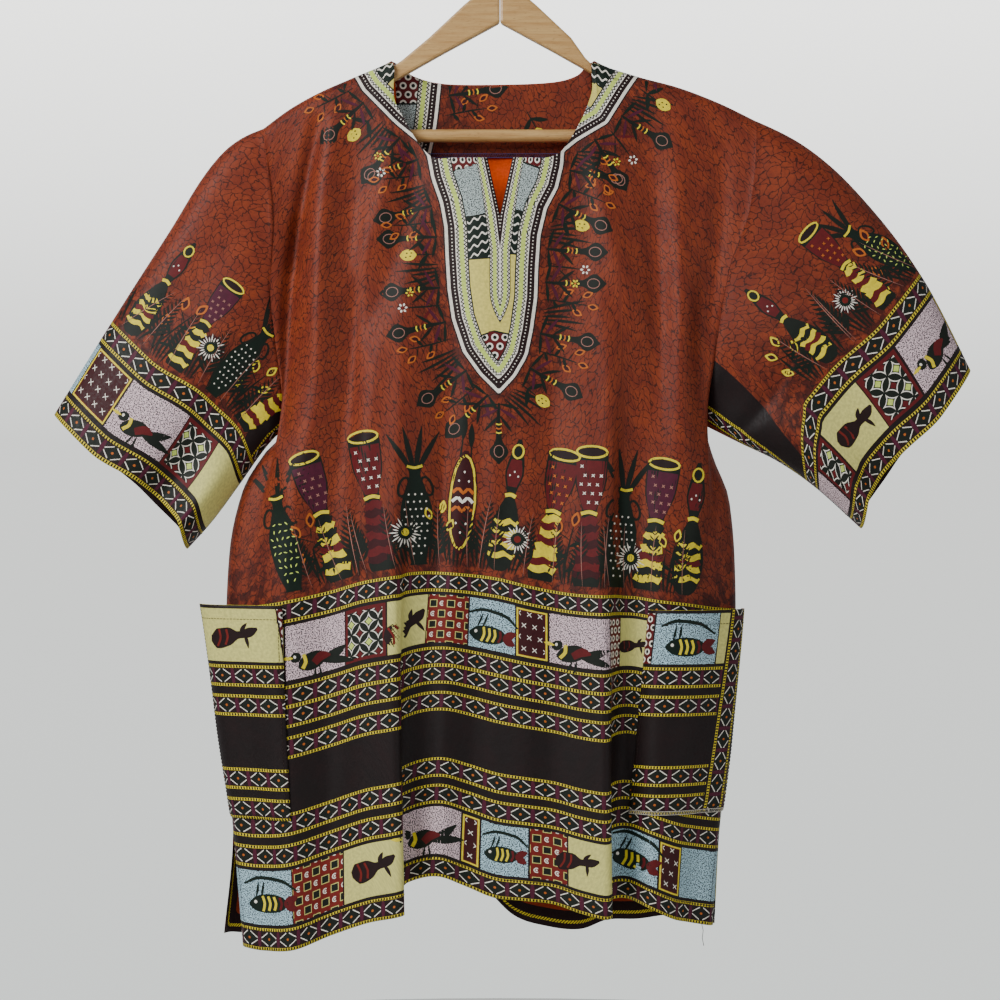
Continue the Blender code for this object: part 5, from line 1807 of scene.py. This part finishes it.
def dye_colours(context):
    """The dyes as linear colours, by name."""
    dyes = context.scene.dashiki.dyes
    return {name: tuple(getattr(dyes, name)) for name, *_ in DYES}


def cotton_materials(context):
    """The cloth's slots: ground, border, collar and reverse."""
    ink = dye_colours(context)
    printed_parts = [once("cotton, wax printed, " + part, printed_cotton, part, ink)
                     for part in ("ground", "border", "collar")]
    return [*printed_parts, once("cotton reverse, vat dyed", cotton_reverse, ink)]


def motif_materials(context):
    """One material for each dye that a motif may use."""
    return {name: once("cotton dye, " + name, dyed_cotton, name, colour)
            for name, colour in dye_colours(context).items()}


def hang(context, piece, node, motifs, sewn):
    """Finish a cloth piece that stands for a node: its cloth, its motifs and its threads."""
    for material in cotton_materials(context):
        piece.data.materials.append(material)
    trims = [motifs.layer(node + "_print", motif_materials(context))]
    for title, threads, colour in sewn:
        dye = tuple(getattr(context.scene.dashiki.cloth, colour))
        trims.append(thread_piece(node + title, threads, once(
            "spun polyester thread, " + colour, spun_thread, colour, dye)))
    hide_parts(node)


VENT_SHARE = 0.9        # share of a panel's rows that lies above its side vents
# Depth of each line of stitches or loops from its edge.
VENT_SEAM, CUFF_SEAM, MOUTH_SEAM, POCKET_SEAM = 11.0, 19.0, 13.0, 4.0
FOOT_LOOPS, FACING_LOOPS = 1.6, 2.2
HEM_CORNER = 14.0       # a vent's stitches end this far above the hem


def panel_stitches(grid, facing):
    """Hem and side vents of a panel."""
    made = ([], [])
    world = to_world(grid, facing) / MM
    normal = -facing * outward(world)
    stitches(made, *edge_path(world, normal, 1, HEM_DEPTH, True))
    vent = int(grid.shape[1] * VENT_SHARE)
    for from_end in (False, True):
        side = edge_path(world[:, vent:], normal[:, vent:], 0, VENT_SEAM, from_end)
        stitches(made, *side, spare=HEM_CORNER)
    return made


# A thread left hanging from the hem at the right.
LOOSE_THREAD = [(185.5, -23, -944), (187, -24, -951), (186.2, -23.5, -958), (187.6, -23, -965)]


class DASHIKI_OT_front(bpy.types.Operator):
    """Make the front panel with its neck slit, print and stitching"""
    bl_idname = "dashiki.front"
    bl_label = "Front panel"

    def execute(self, context):
        cloth = context.scene.dashiki.cloth
        piece, grid = build_front(cloth.crease_depth, cloth.thickness / MM)
        motifs = Print(piece)
        motifs.press_row(FRONT_ROW)
        motifs.press_all([*halo_places(COLLAR_LEFT, 1, 6, 0), *halo_places(COLLAR_RIGHT, -1, 6, 2),
                          *TIP_MOTIFS], -1)
        motifs.press_tiles(FRONT_TILES)
        threads = panel_stitches(grid, -1)
        thread_tube(threads, LOOSE_THREAD, (0, 1, 0), THREAD_RADIUS)
        hang(context, piece, "front", motifs, [("_stitching", threads, "thread")])
        return {"FINISHED"}


class DASHIKI_OT_back(bpy.types.Operator):
    """Make the back panel with its print and stitching"""
    bl_idname = "dashiki.back"
    bl_label = "Back panel"

    def execute(self, context):
        cloth = context.scene.dashiki.cloth
        piece, grid = build_back(cloth.crease_depth, cloth.thickness / MM)
        motifs = Print(piece)
        motifs.press_row(BACK_ROW)
        motifs.press_all(halo_places(BACK_COLLAR, 1, 8, 1), 1)
        motifs.press_tiles(BACK_TILES)
        hang(context, piece, "back", motifs, [("_stitching", panel_stitches(grid, 1), "thread")])
        return {"FINISHED"}


class DASHIKI_OT_sleeves(bpy.types.Operator):
    """Make both sleeves with their borders and stitched cuffs"""
    bl_idname = "dashiki.sleeves"
    bl_label = "Sleeves"

    def execute(self, context):
        cloth = context.scene.dashiki.cloth
        for name, edge, sections, side, row, tiles, wobble in (
                ("sleeve_left", LEFT_EDGE, LEFT_SLEEVE, -1, LEFT_SLEEVE_ROW, LEFT_SLEEVE_TILES, 0.4),
                ("sleeve_right", RIGHT_EDGE, RIGHT_SLEEVE, 1, RIGHT_SLEEVE_ROW, RIGHT_SLEEVE_TILES, 1.9)):
            piece, world = build_sleeve(name + "_cloth", edge, sections, side, cloth.thickness / MM,
                                        cloth.crease_depth, tiles, wobble)
            motifs, threads = Print(piece), ([], [])
            motifs.press_row(row)
            motifs.press_tiles(tiles)
            stitches(threads, *edge_path(world, outward(world, True), 0, CUFF_SEAM, True))
            hang(context, piece, name, motifs, [("_stitching", threads, "thread")])
        return {"FINISHED"}


class DASHIKI_OT_pockets(bpy.types.Operator):
    """Make both patch pockets, stitched to the front along three sides"""
    bl_idname = "dashiki.pockets"
    bl_label = "Pockets"

    def execute(self, context):
        cloth = context.scene.dashiki.cloth
        for pocket, tiles, right in ((LEFT_POCKET, LEFT_POCKET_TILES, 0),
                                     (RIGHT_POCKET, RIGHT_POCKET_TILES, 1)):
            piece, world = build_pocket(pocket, cloth.thickness / MM, tiles, right)
            motifs, threads = Print(piece), ([], [])
            motifs.press_tiles(tiles)
            normal = outward(world)
            stitches(threads, *edge_path(world, normal, 1, MOUTH_SEAM, False))
            for axis, from_end in ((0, False), (0, True), (1, True)):
                stitches(threads, *edge_path(world, normal, axis, POCKET_SEAM, from_end))
            sewn = [("_stitching", threads, "thread")]
            if right:
                loops = ([], [])
                overlock(loops, *edge_path(world, normal, 1, FOOT_LOOPS, True), 3.2, 2.4)
                sewn.append(("_overlock", loops, "pale_thread"))
            hang(context, piece, pocket.name, motifs, sewn)
        return {"FINISHED"}


class DASHIKI_OT_facing(bpy.types.Operator):
    """Make the neck facing inside the back, with its overlocked edge"""
    bl_idname = "dashiki.facing"
    bl_label = "Neck facing"

    def execute(self, context):
        cloth = context.scene.dashiki.cloth
        piece, world = build_facing(cloth.thickness / MM)
        motifs, loops = Print(piece), ([], [])
        motifs.press_all(FACING_MOTIFS, -1)
        overlock(loops, *edge_path(world, outward(world), 1, FACING_LOOPS, True), 3.6, 2.2)
        hang(context, piece, "neck_facing", motifs, [("_overlock", loops, "violet_thread")])
        return {"FINISHED"}


class DASHIKI_OT_hanger(bpy.types.Operator):
    """Finish the hanger's arms and bar in lacquered beech and bend its hook"""
    bl_idname = "dashiki.hanger"
    bl_label = "Hanger"

    def execute(self, context):
        hanger = context.scene.dashiki.hanger
        pale, dark = tuple(hanger.wood_pale), tuple(hanger.wood_dark)
        # The grain follows each arm as it falls to the side, and runs along the bar.
        for node, slope in (("hanger_arm_left", 0.58), ("hanger_arm_right", -0.58), ("hanger_bar", 0.0)):
            wood = lacquered_wood(node, slope, pale, dark)
            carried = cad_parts[node]
            for slot in carried.material_slots:
                slot.material = wood
        radius = HOOK_RADIUS + WIRE_RADIUS
        route = [(0.0, 74.3), (0.0, 68.0), (0.0, 62.0), (0.15, 58.0), (0.6, 54.0), (1.6, 50.4), (3.4, 47.0)]
        route += [(radius * math.cos(a), HOOK_RADIUS - radius * math.sin(a))
                  for a in np.radians(np.arange(-50, 191, 5))]
        wire = bpy.data.curves.new("hook_wire", "CURVE")
        wire.dimensions = "3D"
        wire.bevel_depth = hanger.wire_radius
        wire.bevel_resolution = 5
        wire.use_fill_caps = True
        spline = wire.splines.new("POLY")
        spline.points.add(len(route) - 1)
        for point, (x, drop) in zip(spline.points, route):
            point.co = (x * MM, 0, -drop * MM, 1)
        wire.materials.append(plated_wire(tuple(hanger.steel)))
        piece = bpy.data.objects.new("hook_wire", wire)
        context.scene.collection.objects.link(piece)
        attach(piece, "root")
        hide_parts("hanger_hook")
        return {"FINISHED"}


FLOOR_DROP = 1220.0     # below the hem, out of the camera's view
FLOOR_RADIUS = 1150.0
CAMERA_DROP = 554.7
FRONT_OUT = 25.0        # the plane in which the frame is FRAME_WIDTH metres wide
FRAME_WIDTH = 0.92


class DASHIKI_OT_stage(bpy.types.Operator):
    """Set the pale floor, the room, soft lights and the camera"""
    bl_idname = "dashiki.stage"
    bl_label = "Stage"

    def execute(self, context):
        stage, scene = context.scene.dashiki.stage, context.scene
        seat = camera_at(context, stage.distance)
        turn = np.linspace(0, 2 * math.pi, 96, endpoint=False)
        rim = [(FLOOR_RADIUS * MM * math.cos(a), FLOOR_RADIUS * MM * math.sin(a), 0) for a in turn]
        mesh = bpy.data.meshes.new("floor")
        mesh.from_pydata(rim, [], [tuple(range(len(rim)))])
        mesh.materials.append(studio_paper("floor", tuple(stage.floor)))
        floor = bpy.data.objects.new("floor", mesh)
        floor.location.z = -FLOOR_DROP * MM
        scene.collection.objects.link(floor)
        for name, place, power, size in (("key_light", (-1.5, -1.55, 0.6), stage.key_power, 1.2),
                                         ("fill_light", (1.7, -1.5, -0.3), stage.fill_power, 1.8),
                                         ("back_light", (-0.5, 2.4, 0.6), stage.back_power, 1.8)):
            light = bpy.data.lights.new(name, "AREA")
            light.energy, light.size = power, size
            lamp = bpy.data.objects.new(name, light)
            scene.collection.objects.link(lamp)
            lamp.location = place
            aim = Vector((0, 0, -0.5)) - Vector(place)
            lamp.rotation_euler = aim.to_track_quat("-Z", "Y").to_euler()
        scene.world = pale_room(tuple(stage.room))
        scene.camera = seat
        return {"FINISHED"}


def camera_at(context, distance):
    """Camera level with the middle of the shirt, framing 0.92 m at its front."""
    lens = bpy.data.cameras.new("camera")
    lens.lens = lens.sensor_width * (distance - FRONT_OUT * MM) / FRAME_WIDTH
    camera = bpy.data.objects.new("camera", lens)
    camera.location = (0, -distance, -CAMERA_DROP * MM)
    camera.rotation_euler = (math.pi / 2, 0, 0)
    context.scene.collection.objects.link(camera)
    return camera


def pale_room(light):
    """World of a pale room: its light, and the bright paper that the eye sees behind."""
    world = bpy.data.worlds.new("pale room")
    world.use_nodes = True
    tree = world.node_tree
    tree.nodes.clear()
    add = partial(add_node, tree)
    seen = add("LightPath").node.outputs["Is Camera Ray"]
    way = add("TexCoord").node.outputs["Generated"]
    height = add("SeparateXYZ", way).node.outputs["Z"]
    # Paper behind is lit from above, so it pales upwards.
    up = add("MapRange", height, -0.17, 0.17, 0.0, 1.0)
    paper = add("Mix", up, "#EEF3F0", "#FFFFFC", **COLOUR)
    colour = add("Mix", seen, light, paper, **COLOUR)
    glow = add("MapRange", height, 0.02, 0.17, 1.22, 2.6)
    strength = add("Mix", seen, 1.0, glow, **NUMBER)
    background = add("Background", colour, strength)
    out = tree.nodes.new("ShaderNodeOutputWorld")
    tree.links.new(background, out.inputs["Surface"])
    return world


# ---- the add-on ----------------------------------------------------------------------------

STEPS = (DASHIKI_OT_front, DASHIKI_OT_back, DASHIKI_OT_sleeves, DASHIKI_OT_pockets,
         DASHIKI_OT_facing, DASHIKI_OT_hanger, DASHIKI_OT_stage)


class DASHIKI_PT_panel(bpy.types.Panel):
    """Lists the shirt's pieces and what can be changed"""
    bl_idname = "DASHIKI_PT_panel"
    bl_label = "Dashiki shirt"
    bl_space_type = "VIEW_3D"
    bl_region_type = "UI"
    bl_category = "Dashiki"

    def draw(self, context):
        for step in STEPS:
            self.layout.operator(step.bl_idname)
        for title, group in (("Cloth", "cloth"), ("Dyes", "dyes"), ("Hanger", "hanger"),
                             ("Stage", "stage")):
            box = self.layout.box()
            box.label(text=title)
            settings = getattr(context.scene.dashiki, group)
            for name in settings.bl_rna.properties.keys():
                if name not in {"rna_type", "name"}:
                    box.prop(settings, name)


CLASSES = (DyeColours, ClothSettings, HangerSettings, StageSettings, DashikiSettings,
           *STEPS, DASHIKI_PT_panel)


def register():
    """Register the classes and give each scene the shirt's settings."""
    for made in CLASSES:
        bpy.utils.register_class(made)
    bpy.types.Scene.dashiki = bpy.props.PointerProperty(type=DashikiSettings)


def unregister():
    """Take the settings and the classes away again."""
    del bpy.types.Scene.dashiki
    for made in reversed(CLASSES):
        bpy.utils.unregister_class(made)


def main():
    """Make every piece and the stage."""
    register()
    for step in STEPS:
        group, name = step.bl_idname.split(".")
        getattr(getattr(bpy.ops, group), name)()


if __name__ == "__main__":
    main()
